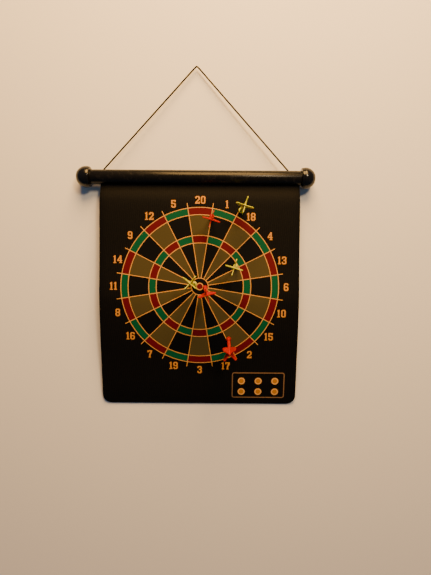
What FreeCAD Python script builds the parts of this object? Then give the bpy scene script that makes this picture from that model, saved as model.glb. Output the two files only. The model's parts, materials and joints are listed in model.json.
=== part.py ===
import FreeCAD, Part

import math
import os

import Sketcher
from FreeCAD import Placement, Rotation, Vector

# A roll-up magnetic dart board that hangs on a wall by a cord: a plastic roller tube
# with a ball-shaped cap pushed into each end, a cord through two holes in the tube's
# top, a flexible magnetic mat whose top edge is clamped in the tube's bottom slot,
# and six magnetic darts that stand on the mat.
#
# Frame: +X to the right of a person facing the board, +Y into the wall, +Z up.
# The origin is the underside of the cord where it lies on the nail.

doc = FreeCAD.newDocument("RollUpDartBoard")
sheet = doc.addObject("Spreadsheet::Sheet", "Sizes")

SIZES = {
    # roller tube and what is in it
    "tube_drop": 213.0,  # nail contact down to the tube's axis
    "tube_front": 12.0,  # tube's axis in front of the nail contact
    "tube_length": 403.4,
    "tube_radius": 14.0,
    "bore_radius": 12.4,
    "slot_width": 3.6,
    "cord_hole_radius": 2.6,
    "cord_hole_span": 353.0,  # between the two holes
    "rod_length": 384.0,
    "rod_radius": 3.6,
    "rod_groove_width": 2.2,
    "rod_groove_depth": 3.2,
    # end caps
    "knob_radius": 20.2,
    "knob_offset": 7.4,  # knob's centre outside its inner face
    "knob_end_radius": 8.5,  # flat end face
    "cap_gap": 0.1,
    "plug_radius": 12.35,
    "plug_length": 18.0,
    "plug_bore_radius": 9.5,
    "plug_bore_depth": 14.0,
    "notch_width": 8.4,  # clears the clamp rod
    "notch_top": 4.6,  # below the tube's axis
    # hanging cord
    "cord_radius": 1.5,
    "nail_radius": 3.0,
    "tail_gap": 1.4,
    "tail_length": 9.0,
    "knot_radius": 3.6,
    # mat
    "mat_width": 381.0,
    "mat_shift": 8.2,  # mat's middle to the right of the tube's
    "face_thickness": 0.6,
    "core_thickness": 0.8,
    "backing_thickness": 0.6,
    "strip_gap": 0.3,
    "corner_radius": 18.0,
    "corner_cut_depth": 200.0,
    # darts, along the axis from the magnet's face
    "magnet_radius": 4.0,
    "magnet_length": 4.0,
    "cup_radius": 4.8,
    "cup_start": 1.6,
    "barrel_end": 38.0,
    "stem_radius": 1.3,
    "stem_length": 8.0,
    "dart_length": 67.0,
    "fin_reach": 15.0,
    "fin_thickness": 1.3,
    "seat_gap": 0.35,
}
for row, (alias, value) in enumerate(SIZES.items(), start=1):
    sheet.set(f"A{row}", alias)
    sheet.set(f"B{row}", str(value))
    sheet.setAlias(f"B{row}", alias)
doc.recompute()

SUB_PARTS = []


def size(alias):
    """Return a driving dimension from the spreadsheet, in millimetres."""
    return float(sheet.get(alias))


def bind(target, prop, formula):
    """Bind a property to the spreadsheet; every word in braces is one of its aliases."""
    aliases = {name: f"Sizes.{name}" for name in SIZES}
    target.setExpression(prop, formula.format(**aliases))


# ---------------------------------------------------------------- modelling helpers
def new_body(label, place=None):
    """Start a PartDesign body that becomes one sub-part."""
    body = doc.addObject("PartDesign::Body", label)
    body.Label = label
    body.Placement = place or Placement()
    SUB_PARTS.append(body)
    return body


def origin_feature(body, role):
    """Find one of the body's own origin planes or axes."""
    return next(item for item in body.Origin.OriginFeatures if item.Role == role)


def new_sketch(body, name, role):
    """Add a sketch on one of the body's origin planes."""
    sketch = body.newObject("Sketcher::SketchObject", f"{body.Name}_{name}")
    sketch.AttachmentSupport = [(origin_feature(body, role), "")]
    sketch.MapMode = "FlatFace"
    return sketch


def add_circle(sketch, radius_alias, x=0.0, y=0.0):
    """Draw a circle whose radius follows the spreadsheet."""
    up = Vector(0, 0, 1)
    index = sketch.addGeometry(Part.Circle(Vector(x, y, 0), up, size(radius_alias)))
    constraint = sketch.addConstraint(Sketcher.Constraint("Radius", index, size(radius_alias)))
    bind(sketch, f"Constraints[{constraint}]", "{" + radius_alias + "}")


def add_outline(sketch, points):
    """Draw a closed outline; a point given as (through, end) makes an arc."""
    corner = points[0]
    for step in points[1:] + [points[0]]:
        if isinstance(step[0], tuple):
            through, end = step
            arc = Part.Arc(Vector(*corner, 0), Vector(*through, 0), Vector(*end, 0))
            sketch.addGeometry(arc)
            corner = end
        elif math.dist(step, corner) > 1e-7:
            sketch.addGeometry(Part.LineSegment(Vector(*corner, 0), Vector(*step, 0)))
            corner = step


def add_pad(body, sketch, name, formula, both_ways=True):
    """Extrude a sketch by a length from the spreadsheet."""
    feature = body.newObject("PartDesign::Pad", f"{body.Name}_{name}")
    feature.Profile = sketch
    if both_ways:
        feature.SideType = "Symmetric"
    bind(feature, "Length", formula)
    return feature


def add_pocket(body, sketch, name, formula, both_ways=True, turn_back=False):
    """Cut a sketch into the body by a length from the spreadsheet."""
    feature = body.newObject("PartDesign::Pocket", f"{body.Name}_{name}")
    feature.Profile = sketch
    if both_ways:
        feature.SideType = "Symmetric"
    feature.Reversed = turn_back
    bind(feature, "Length", formula)
    return feature


def add_revolution(body, sketch, name, role):
    """Turn a sketch once round one of the body's origin axes."""
    feature = body.newObject("PartDesign::Revolution", f"{body.Name}_{name}")
    feature.Profile = sketch
    feature.ReferenceAxis = (origin_feature(body, role), [""])
    feature.Angle = 360.0
    return feature


TUBE_Y = -size("tube_front")
TUBE_Z = -size("tube_drop")
TUBE_PLACE = Placement(Vector(0, TUBE_Y, TUBE_Z), Rotation())


# ---------------------------------------------------------------- roller tube
def build_tube():
    """Plastic tube with a slot along its bottom and two cord holes in its top."""
    body = new_body("roller_tube", TUBE_PLACE)
    ring = new_sketch(body, "ring", "YZ_Plane")
    add_circle(ring, "tube_radius")
    add_circle(ring, "bore_radius")
    add_pad(body, ring, "wall", "{tube_length}")
    slot = new_sketch(body, "slot", "XY_Plane")
    half_length = size("tube_length") / 2 + 1.0
    half_width = size("slot_width") / 2
    corners = [(-half_length, -half_width), (half_length, -half_width)]
    corners += [(half_length, half_width), (-half_length, half_width)]
    add_outline(slot, corners)
    add_pocket(body, slot, "bottom_slot", "{tube_radius} + 1", both_ways=False)
    holes = new_sketch(body, "holes", "XY_Plane")
    for side in (-1, 1):
        add_circle(holes, "cord_hole_radius", x=side * size("cord_hole_span") / 2)
    add_pocket(body, holes, "cord_holes", "{tube_radius} + 1", both_ways=False, turn_back=True)
    return body


def build_clamp_rod():
    """Grooved rod inside the tube: the mat's top edge is glued into its groove."""
    rise = size("rod_radius") - size("bore_radius") + 0.1
    place = Placement(Vector(size("mat_shift") / 2, TUBE_Y, TUBE_Z + rise), Rotation())
    body = new_body("clamp_rod", place)
    disc = new_sketch(body, "disc", "YZ_Plane")
    add_circle(disc, "rod_radius")
    add_pad(body, disc, "rod", "{rod_length}")
    groove = new_sketch(body, "groove", "YZ_Plane")
    half_width = size("rod_groove_width") / 2
    low = -size("rod_radius") - 1.0
    high = -size("rod_radius") + size("rod_groove_depth")
    corners = [(-half_width, low), (half_width, low), (half_width, high), (-half_width, high)]
    add_outline(groove, corners)
    add_pocket(body, groove, "mat_groove", "{rod_length} + 2")
    return body


def build_cap(label, side):
    """Ball-shaped end cap with a hollow plug; side is -1 at the left end, 1 at the right."""
    face = side * (size("tube_length") / 2 + size("cap_gap"))
    body = new_body(label, Placement(Vector(face, TUBE_Y, TUBE_Z), Rotation()))
    radius = size("knob_radius")
    centre = size("knob_offset")
    rim = math.sqrt(radius**2 - centre**2)
    end_radius = size("knob_end_radius")
    end = centre + math.sqrt(radius**2 - end_radius**2)
    plug = size("plug_radius")
    bore = size("plug_bore_radius")
    mouth = -size("plug_length")
    floor = mouth + size("plug_bore_depth")
    outline = [
        (side * floor, 0.0),
        (side * floor, bore),
        (side * mouth, bore),
        (side * mouth, plug),
        (0.0, plug),
        (0.0, rim),
        ((side * centre, radius), (side * end, end_radius)),
        (side * end, 0.0),
    ]
    profile = new_sketch(body, "profile", "XY_Plane")
    add_outline(profile, outline)
    add_revolution(body, profile, "turned", "X_Axis")
    notch = new_sketch(body, "notch", "YZ_Plane")
    half_width = size("notch_width") / 2
    top = -size("notch_top")
    low = -plug - 1.0
    corners = [(-half_width, low), (half_width, low), (half_width, top), (-half_width, top)]
    add_outline(notch, corners)
    depth = "{plug_length} + 1"
    add_pocket(body, notch, "rod_notch", depth, both_ways=False, turn_back=side < 0)
    return body


# ---------------------------------------------------------------- hanging cord
HOLE_X = size("cord_hole_span") / 2
CORD_EXIT_Z = TUBE_Z + size("tube_radius")
WRAP_RADIUS = size("nail_radius") + size("cord_radius")
# The cord's route, from the left hole over the nail to the right hole. Its two upper
# points stand either side of the nail, so that the two arcs there are one wrap of it.
CORD_ROUTE = [
    (-HOLE_X, TUBE_Y, CORD_EXIT_Z),
    (-2.052, 0.0, 1.5),
    (2.052, 0.0, 1.5),
    (HOLE_X, TUBE_Y, CORD_EXIT_Z),
]


def rounded_path(route, radius):
    """Join straight runs with tangent arcs of one radius; return a wire and its radii."""
    points = [Vector(*point) for point in route]
    edges = []
    radii = []
    start = points[0]
    for before, corner, after in zip(points, points[1:], points[2:]):
        back = (before - corner).normalize()
        ahead = (after - corner).normalize()
        turn = math.pi - back.getAngle(ahead)
        tangent = radius * math.tan(turn / 2)
        arc_start = corner + back * tangent
        arc_end = corner + ahead * tangent
        middle = (back + ahead).normalize()
        arc_middle = corner + middle * (radius / math.cos(turn / 2) - radius)
        if arc_start.distanceToPoint(start) > 1e-3:
            edges.append(Part.LineSegment(start, arc_start).toShape())
        else:
            arc_start = start
        edges.append(Part.Arc(arc_start, arc_middle, arc_end).toShape())
        radii.append(round(radius, 3))
        start = arc_end
    edges.append(Part.LineSegment(start, points[-1]).toShape())
    return Part.Wire(edges), radii


def build_cord():
    """Taut cord over the nail, swept along straight runs and the wrap's arcs."""
    path, radii = rounded_path(CORD_ROUTE, WRAP_RADIUS)
    first = path.Edges[0]
    heading = first.tangentAt(first.FirstParameter)
    disc = Part.makeCircle(size("cord_radius"), Vector(*CORD_ROUTE[0]), heading)
    shape = path.makePipeShell([Part.Wire(disc)], True, False)
    section = math.pi * size("cord_radius") ** 2
    print("cord length", round(path.Length, 2), "arc radii", radii)
    print("cord volume", round(shape.Volume, 1), "section x length", round(section * path.Length, 1))
    cord = doc.addObject("Part::Feature", "hanging_cord")
    cord.Label = "hanging_cord"
    cord.Shape = shape
    SUB_PARTS.append(cord)
    return cord


def build_knot(label, side):
    """Cord's tail inside the tube, ending in a stopper knot wider than the hole."""
    tail = doc.addObject("Part::Cylinder", f"{label}_tail")
    bind(tail, "Radius", "{cord_radius}")
    bind(tail, "Height", "{tail_length}")
    tail.Placement = Placement(Vector(0, 0, -size("tail_length")), Rotation())
    ball = doc.addObject("Part::Sphere", f"{label}_ball")
    bind(ball, "Radius", "{knot_radius}")
    ball.Placement = Placement(Vector(0, 0, -size("tail_length") * 0.6), Rotation())
    knot = doc.addObject("Part::Fuse", label)
    knot.Label = label
    knot.Base = tail
    knot.Tool = ball
    top = CORD_EXIT_Z - size("tail_gap")
    knot.Placement = Placement(Vector(side * HOLE_X, TUBE_Y, top), Rotation())
    SUB_PARTS.append(knot)
    return knot


# ---------------------------------------------------------------- mat
# The mat's side profile: how far it leans out from the wall, in degrees, at distances
# down the sheet from its top edge. It is linear in between, so each stretch is an arc.
LEAN = [
    (0.0, 0.0),
    (3.0, 0.0),
    (8.0, 14.0),
    (16.0, 24.0),
    (26.0, 18.0),
    (38.0, 4.0),
    (50.0, 1.0),
    (98.0, -0.5),
    (140.0, 1.0),
    (190.0, 2.5),
    (212.0, 2.0),
    (222.0, -1.0),
    (236.0, -5.0),
    (285.0, -7.0),
    (325.0, -9.5),
    (355.0, -8.5),
    (385.0, -8.0),
    (412.0, -10.5),
    (428.0, -14.0),
    (437.0, -24.0),
]
HINGES = [95.0, 143.0, 185.0, 227.0, 275.0, 329.0, 383.0]
MAT_LENGTH = LEAN[-1][0]
MAT_TOP = 9.2  # top edge below the tube's axis
MAT_FRONT_Y = TUBE_Y - 1.0  # front face at the top edge


def lean_at(distance):
    """Lean of the sheet in radians at a distance from its top edge."""
    for (low, lean_low), (high, lean_high) in zip(LEAN, LEAN[1:]):
        if distance <= high:
            share = (distance - low) / (high - low)
            return math.radians(lean_low + share * (lean_high - lean_low))
    return math.radians(LEAN[-1][1])


def arc_step(start_lean, end_lean, length):
    """Forward and downward travel along an arc of the sheet."""
    turn = end_lean - start_lean
    if abs(turn) < 1e-9:
        return length * math.sin(start_lean), length * math.cos(start_lean)
    radius = length / turn
    forward = radius * (math.cos(start_lean) - math.cos(end_lean))
    down = radius * (math.sin(end_lean) - math.sin(start_lean))
    return forward, down


def mat_point(distance, depth=0.0):
    """Point (y, z) of the mat at a distance down the sheet and a depth behind its face."""
    y, z = MAT_FRONT_Y, TUBE_Z - MAT_TOP
    for (low, _), (high, _) in zip(LEAN, LEAN[1:]):
        reach = min(distance, high)
        if reach > low:
            forward, down = arc_step(lean_at(low), lean_at(reach), reach - low)
            y -= forward
            z -= down
    lean = lean_at(distance)
    return (y + depth * math.cos(lean), z - depth * math.sin(lean))


def bend_step(low, high, end, depth):
    """Outline step along one stretch: an arc, or a straight run where the lean is even."""
    target = mat_point(end, depth)
    if abs(lean_at(high) - lean_at(low)) < 1e-9:
        return target
    return (mat_point((low + high) / 2, depth), target)


def strip_outline(start, end, near, far):
    """Outline of one layer of a strip between two distances and two depths."""
    stops = [start] + [stop for stop, _ in LEAN if start < stop < end] + [end]
    stretches = list(zip(stops, stops[1:]))
    outline = [mat_point(start, near)]
    outline += [bend_step(low, high, high, near) for low, high in stretches]
    outline.append(mat_point(end, far))
    outline += [bend_step(low, high, low, far) for low, high in reversed(stretches)]
    return outline


def round_bottom_corners(body):
    """Cut the two lower corners of the mat to a radius."""
    radius = size("corner_radius")
    bottom = mat_point(MAT_LENGTH)[1]
    edge = size("mat_width") / 2
    sketch = new_sketch(body, "corners", "XZ_Plane")
    diagonal = radius * (1 - math.sqrt(0.5))
    for side in (-1, 1):
        arc_end = (side * (edge - radius), bottom)
        through = (side * (edge - diagonal), bottom + diagonal)
        outline = [
            (side * edge, bottom + radius),
            (through, arc_end),
            (side * (edge - radius), bottom - 10.0),
            (side * (edge + 10.0), bottom - 10.0),
            (side * (edge + 10.0), bottom + radius),
        ]
        add_outline(sketch, outline)
    add_pocket(body, sketch, "round_corners", "{corner_cut_depth}")


def build_strip(number, start, end):
    """Face cloth, magnetic core and backing of one strip of the mat."""
    face = size("face_thickness")
    core = size("core_thickness")
    back = face + core + size("backing_thickness")
    layers = [
        (f"face_cloth_{number}", 0.0, face),
        (f"magnet_sheet_{number}", face, face + core),
        (f"backing_{number}", face + core, back),
    ]
    for label, near, far in layers:
        body = new_body(label, Placement(Vector(size("mat_shift"), 0, 0), Rotation()))
        profile = new_sketch(body, "profile", "YZ_Plane")
        add_outline(profile, strip_outline(start, end, near, far))
        add_pad(body, profile, "sheet", "{mat_width}")
        if end == MAT_LENGTH:
            round_bottom_corners(body)


def build_mat():
    """Eight strips from the clamp rod to the bottom edge, a hair apart at the hinges."""
    gap = size("strip_gap") / 2
    bounds = [0.0] + HINGES + [MAT_LENGTH]
    for number, (low, high) in enumerate(zip(bounds, bounds[1:]), start=1):
        start = low + gap if low > 0.0 else low
        end = high - gap if high < MAT_LENGTH else high
        build_strip(number, start, end)


# ---------------------------------------------------------------- darts
# name: (x, distance down the mat, yaw to the right, droop, roll of the fins); degrees
DARTS = {
    "yellow_dart_1": (86.5, 55.6, 3.5, -0.5, -14.0),
    "yellow_dart_2": (77.6, 161.4, -5.5, 3.5, -22.0),
    "yellow_dart_3": (-0.6, 195.4, -5.0, -2.5, 45.0),
    "red_dart_1": (31.3, 67.3, -0.5, 12.5, -17.0),
    "red_dart_2": (19.4, 202.2, 4.5, 11.0, 20.0),
    "red_dart_3": (65.2, 300.8, 0.5, 19.0, 50.0),
}


def dart_axis(yaw, droop):
    """Unit vector from a dart's magnet to its tail."""
    yaw = math.radians(yaw)
    droop = math.radians(droop)
    level = math.cos(droop)
    return Vector(math.sin(yaw) * level, -math.cos(yaw) * level, -math.sin(droop))


def dart_place(x, distance, yaw, droop, roll):
    """Place a dart's own frame, magnet face at its origin and tail along +Z, on the mat."""
    axis = dart_axis(yaw, droop)
    lean = lean_at(distance)
    normal = Vector(0, -math.cos(lean), math.sin(lean))
    tilt = axis.getAngle(normal)
    lift = size("seat_gap") + size("magnet_radius") * math.sin(tilt)
    y, z = mat_point(distance)
    base = Vector(x, y, z) + normal * lift
    turn = Rotation(Vector(0, 0, 1), axis)
    spin = Rotation(Vector(0, 0, 1), roll)
    return Placement(base, turn.multiply(spin))


def build_magnet(name, place):
    """Disc magnet in the dart's nose."""
    magnet = doc.addObject("Part::Cylinder", f"{name}_magnet")
    magnet.Label = f"{name}_magnet"
    bind(magnet, "Radius", "{magnet_radius}")
    bind(magnet, "Height", "{magnet_length}")
    magnet.Placement = place
    SUB_PARTS.append(magnet)


def build_barrel(name, place):
    """Turned barrel: a cup for the magnet, a slim neck, a grip and a socketed tail."""
    body = new_body(f"{name}_barrel", place)
    cup = size("cup_radius")
    end = size("barrel_end")
    socket = end - size("stem_length")
    stem = size("stem_radius")
    outline = [
        (0.0, size("magnet_length")),
        (size("magnet_radius"), size("magnet_length")),
        (size("magnet_radius"), size("cup_start")),
        (cup, size("cup_start")),
        (cup, 4.6),
        ((3.1, 5.4), (2.2, 9.0)),
        (2.2, 11.0),
        ((2.9, 13.0), (3.2, 16.0)),
        (3.2, 27.0),
        ((3.0, 33.0), (2.3, end)),
        (stem, end),
        (stem, socket),
        (0.0, socket),
    ]
    profile = new_sketch(body, "profile", "XZ_Plane")
    add_outline(profile, outline)
    add_revolution(body, profile, "turned", "Z_Axis")


def build_flight(name, place):
    """Moulded flight: four leaf-shaped fins round a hub whose stem plugs the barrel."""
    body = new_body(f"{name}_flight", place)
    end = size("barrel_end")
    tail = size("dart_length")
    stem = size("stem_radius")
    hub = new_sketch(body, "hub", "XZ_Plane")
    outline = [
        (0.0, end - size("stem_length")),
        (stem, end - size("stem_length")),
        (stem, end),
        (2.3, end),
        (1.7, tail - 2.0),
        (0.0, tail - 2.0),
    ]
    add_outline(hub, outline)
    add_revolution(body, hub, "turned", "Z_Axis")
    reach = size("fin_reach")
    fin = new_sketch(body, "fin", "XZ_Plane")
    leaf = [
        (0.0, end + 1.0),
        (1.5, end + 1.0),
        ((8.2, end + 7.6), (reach, tail - 10.0)),
        ((reach - 0.1, tail - 3.4), (reach - 3.0, tail)),
        ((6.4, tail - 2.6), (1.0, tail - 3.6)),
        (0.0, tail - 3.6),
    ]
    add_outline(fin, leaf)
    pad = add_pad(body, fin, "fin_plate", "{fin_thickness}")
    ring = body.newObject("PartDesign::PolarPattern", f"{body.Name}_fins")
    ring.Originals = [pad]
    ring.Axis = (origin_feature(body, "Z_Axis"), [""])
    ring.Angle = 360.0
    ring.Occurrences = 4
    body.Tip = ring


def build_dart(name, x, distance, yaw, droop, roll):
    """One dart: magnet, barrel and flight on one axis."""
    place = dart_place(x, distance, yaw, droop, roll)
    build_magnet(name, place)
    build_barrel(name, place)
    build_flight(name, place)


def report_frame():
    """Print the joint positions and directions that the record states."""
    thickness = size("face_thickness") + size("core_thickness") + size("backing_thickness")
    print("roller hinge y z", TUBE_Y, CORD_EXIT_Z)
    for number, hinge in enumerate(HINGES, start=1):
        y, z = mat_point(hinge, thickness)
        print("mat hinge", number, "y z", round(y, 3), round(z, 3))
    for name, (x, distance, yaw, droop, roll) in DARTS.items():
        axis = dart_axis(yaw, droop)
        print("dart", name, "axis", [round(value, 6) for value in axis])
    print("mat bottom", mat_point(MAT_LENGTH, thickness))


def main():
    """Build every sub-part, check it and write it to its STEP file."""
    build_tube()
    build_clamp_rod()
    build_cap("left_cap", -1)
    build_cap("right_cap", 1)
    build_cord()
    build_knot("left_knot", -1)
    build_knot("right_knot", 1)
    build_mat()
    for name, place in DARTS.items():
        build_dart(name, *place)
    doc.recompute()
    failed = [item.Name for item in doc.Objects if {"Invalid", "Error"} & set(item.State)]
    if failed:
        raise RuntimeError(f"features failed: {failed}")
    for part in SUB_PARTS:
        shape = part.Shape
        if shape.isNull() or not shape.isValid() or not shape.Solids:
            raise RuntimeError(f"{part.Label} has no valid solid")
    os.makedirs("parts", exist_ok=True)
    for part in SUB_PARTS:
        part.Shape.exportStep(f"parts/{part.Label}.step")
        print(f"{part.Label}: {part.Shape.Volume:.1f} mm3, {len(part.Shape.Solids)} solid")
    report_frame()


main()
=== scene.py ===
"""Looks of a roll-up magnetic dart board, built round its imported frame.

Everything is in metres in the frame of the part: +X to the right of a person who faces
the board, +Y into the wall and +Z up, with the origin where the cord lies on its nail.
The mat and its print are modelled flat, as they are made: x across, y down the sheet as
a negative number and z towards the player. They are then bent to the hanging profile.
"""

import json
import logging
import math
from collections.abc import Iterable
from dataclasses import dataclass
from enum import Enum

import bmesh
import bpy
from mathutils import Matrix, Quaternion, Vector


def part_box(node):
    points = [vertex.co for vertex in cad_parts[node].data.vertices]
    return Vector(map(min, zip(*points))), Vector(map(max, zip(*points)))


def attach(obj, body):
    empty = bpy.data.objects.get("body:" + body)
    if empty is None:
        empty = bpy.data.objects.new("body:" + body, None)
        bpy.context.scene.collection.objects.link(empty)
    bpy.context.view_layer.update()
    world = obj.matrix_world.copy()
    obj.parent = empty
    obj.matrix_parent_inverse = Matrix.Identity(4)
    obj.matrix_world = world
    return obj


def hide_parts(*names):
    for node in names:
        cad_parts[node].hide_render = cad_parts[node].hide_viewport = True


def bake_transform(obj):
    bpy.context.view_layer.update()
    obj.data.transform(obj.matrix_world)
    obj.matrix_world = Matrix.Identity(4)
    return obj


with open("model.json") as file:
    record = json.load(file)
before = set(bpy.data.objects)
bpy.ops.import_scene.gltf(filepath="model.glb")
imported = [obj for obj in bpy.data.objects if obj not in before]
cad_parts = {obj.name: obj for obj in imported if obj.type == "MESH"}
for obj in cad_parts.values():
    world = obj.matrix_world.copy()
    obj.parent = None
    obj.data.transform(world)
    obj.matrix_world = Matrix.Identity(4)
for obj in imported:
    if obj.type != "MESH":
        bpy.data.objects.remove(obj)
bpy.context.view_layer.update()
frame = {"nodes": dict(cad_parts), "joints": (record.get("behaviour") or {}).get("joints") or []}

MM = 0.001
FULL_TURN = 2 * math.pi
UP = Vector((0.0, 0.0, 1.0))
SMOOTH_ANGLE = math.radians(32)
Colour = tuple[float, float, float]
log = logging.getLogger("dart_board")


# ------------------------------------------------------------------ mesh helpers
def publish(name: str, mesh: bmesh.types.BMesh, finishes: Iterable[bpy.types.Material]) -> bpy.types.Object:
    """Turn a finished bmesh into a shown object at the origin.

    Args:
        name: The piece's name.
        mesh: The shape, which is freed.
        finishes: The materials, in the order of the faces' material numbers.

    Returns:
        The new object.
    """
    for face in mesh.faces:
        face.smooth = True
    for edge in mesh.edges:
        edge.smooth = edge.calc_face_angle(0.0) < SMOOTH_ANGLE
    data = bpy.data.meshes.new(name)
    mesh.to_mesh(data)
    mesh.free()
    for finish in finishes:
        data.materials.append(finish)
    piece = bpy.data.objects.new(name, data)
    bpy.context.scene.collection.objects.link(piece)
    return piece


def absorb(target: bmesh.types.BMesh, source: bmesh.types.BMesh) -> None:
    """Add a bmesh to another and free it.

    Args:
        target: The bmesh that grows.
        source: The bmesh that is copied in.
    """
    carrier = bpy.data.meshes.new("carrier")
    source.to_mesh(carrier)
    source.free()
    target.from_mesh(carrier)
    bpy.data.meshes.remove(carrier)


def close_up(mesh: bmesh.types.BMesh) -> None:
    """Weld doubled points and turn every face outwards.

    Args:
        mesh: The closed shape.
    """
    bmesh.ops.remove_doubles(mesh, verts=mesh.verts, dist=1e-6)
    bmesh.ops.recalc_face_normals(mesh, faces=mesh.faces)


def arc(start: tuple, middle: tuple, end: tuple, steps: int) -> list[tuple]:
    """Points along the circle through three points, without the first one.

    Args:
        start: Where the arc starts.
        middle: A point that it passes.
        end: Where it ends.
        steps: How many points to return.

    Returns:
        The points, the last of which is the end.
    """
    a, b, c = (Vector(point) for point in (start, middle, end))
    ab, ac = b - a, c - a
    cross = ab.cross(ac)
    across = Vector((-ab.y, ab.x)) * ac.length_squared - Vector((-ac.y, ac.x)) * ab.length_squared
    centre = a + across / (2 * cross)
    turn = (a - centre).angle_signed(b - centre) + (b - centre).angle_signed(c - centre)
    points = []
    for step in range(1, steps + 1):
        spoke = a - centre
        spoke.rotate(Matrix.Rotation(-turn * step / steps, 2))
        points.append(tuple(centre + spoke))
    return points


def turned(outline: list[tuple], steps: int) -> bmesh.types.BMesh:
    """Turn an outline once round the Z axis.

    Args:
        outline: Points (radius, height) in millimetres.
        steps: Number of steps in the full turn.

    Returns:
        The closed shape, in metres.
    """
    mesh = bmesh.new()
    points = [mesh.verts.new((radius * MM, 0.0, height * MM)) for radius, height in outline]
    lines = [mesh.edges.new(pair) for pair in zip(points, points[1:])]
    bmesh.ops.spin(
        mesh, geom=points + lines, cent=(0, 0, 0), axis=UP, angle=FULL_TURN, steps=steps, use_merge=True
    )
    close_up(mesh)
    return mesh


def rounded_quad(
    centre: Vector, width: float, height: float, radius: float, low_only: bool
) -> bmesh.types.BMesh:
    """Flat rectangle with round corners, facing up.

    Args:
        centre: Its middle.
        width: Its size along x.
        height: Its size along y.
        radius: Corner radius, or 0 for square corners.
        low_only: Round only the two corners with the lowest y.

    Returns:
        A bmesh with one face.
    """
    mesh = bmesh.new()
    place = Matrix.LocRotScale(centre, None, Vector((width, height, 1.0)))
    bmesh.ops.create_grid(mesh, x_segments=1, y_segments=1, size=0.5, matrix=place)
    corners = [vert for vert in mesh.verts if vert.co.y < centre.y or not low_only]
    if radius > 0:
        bmesh.ops.bevel(
            mesh, geom=corners, offset=radius, segments=8, profile=0.5, affect="VERTICES", material=-1
        )
    return mesh


def slice_at(mesh: bmesh.types.BMesh, axis: int, places: Iterable[float]) -> None:
    """Cut edges into a flat shape along lines across one axis.

    Args:
        mesh: The flat shape.
        axis: 0 for cuts at x positions, 1 for cuts at y positions.
        places: The positions.
    """
    normal = Vector((0.0, 0.0, 0.0))
    normal[axis] = 1.0
    for place in places:
        everything = mesh.verts[:] + mesh.edges[:] + mesh.faces[:]
        bmesh.ops.bisect_plane(mesh, geom=everything, dist=1e-7, plane_co=normal * place, plane_no=normal)


def thicken(mesh: bmesh.types.BMesh, low: float, high: float) -> None:
    """Give a flat shape a thickness along z.

    Args:
        mesh: The flat shape at z = 0.
        low: Height of its underside.
        high: Height of its upper side.
    """
    bmesh.ops.translate(mesh, verts=mesh.verts, vec=(0.0, 0.0, low))
    made = bmesh.ops.extrude_face_region(mesh, geom=mesh.faces[:])["geom"]
    lifted = [item for item in made if isinstance(item, bmesh.types.BMVert)]
    bmesh.ops.translate(mesh, verts=lifted, vec=(0.0, 0.0, high - low))
    bmesh.ops.recalc_face_normals(mesh, faces=mesh.faces)


def carve(piece: bpy.types.Object, cutter_mesh: bmesh.types.BMesh) -> None:
    """Cut a shape out of a piece.

    Args:
        piece: The piece, whose mesh is replaced.
        cutter_mesh: The closed shape to cut away, which is freed.
    """
    cutter = publish("cutter", cutter_mesh, [])
    modifier = piece.modifiers.new("carve", "BOOLEAN")
    modifier.operation = "DIFFERENCE"
    modifier.solver = "EXACT"
    modifier.object = cutter
    carved = bpy.data.meshes.new_from_object(piece.evaluated_get(bpy.context.evaluated_depsgraph_get()))
    piece.modifiers.clear()
    whole = piece.data
    piece.data = carved
    bpy.data.meshes.remove(whole)
    bpy.data.objects.remove(cutter)
    carved.name = piece.name


def spline_points(route: list[Vector], resolution: int) -> list[Vector]:
    """Points along the NURBS spline of a cord's route.

    Args:
        route: The control points.
        resolution: Points for each stretch of the spline.

    Returns:
        The points in order, none of them doubled.
    """
    curve = bpy.data.curves.new("route", "CURVE")
    curve.dimensions = "3D"
    curve.resolution_u = resolution
    spline = curve.splines.new("NURBS")
    spline.points.add(len(route) - 1)
    for point, place in zip(spline.points, route):
        point.co = (*place, 1.0)
    spline.order_u = 3
    spline.use_endpoint_u = True
    holder = bpy.data.objects.new("route", curve)
    line = bpy.data.meshes.new_from_object(holder)
    points = [line.vertices[0].co.copy()]
    for vertex in line.vertices:
        if (vertex.co - points[-1]).length > 0.05 * MM:
            points.append(vertex.co.copy())
    bpy.data.objects.remove(holder)
    bpy.data.meshes.remove(line)
    return points


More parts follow.
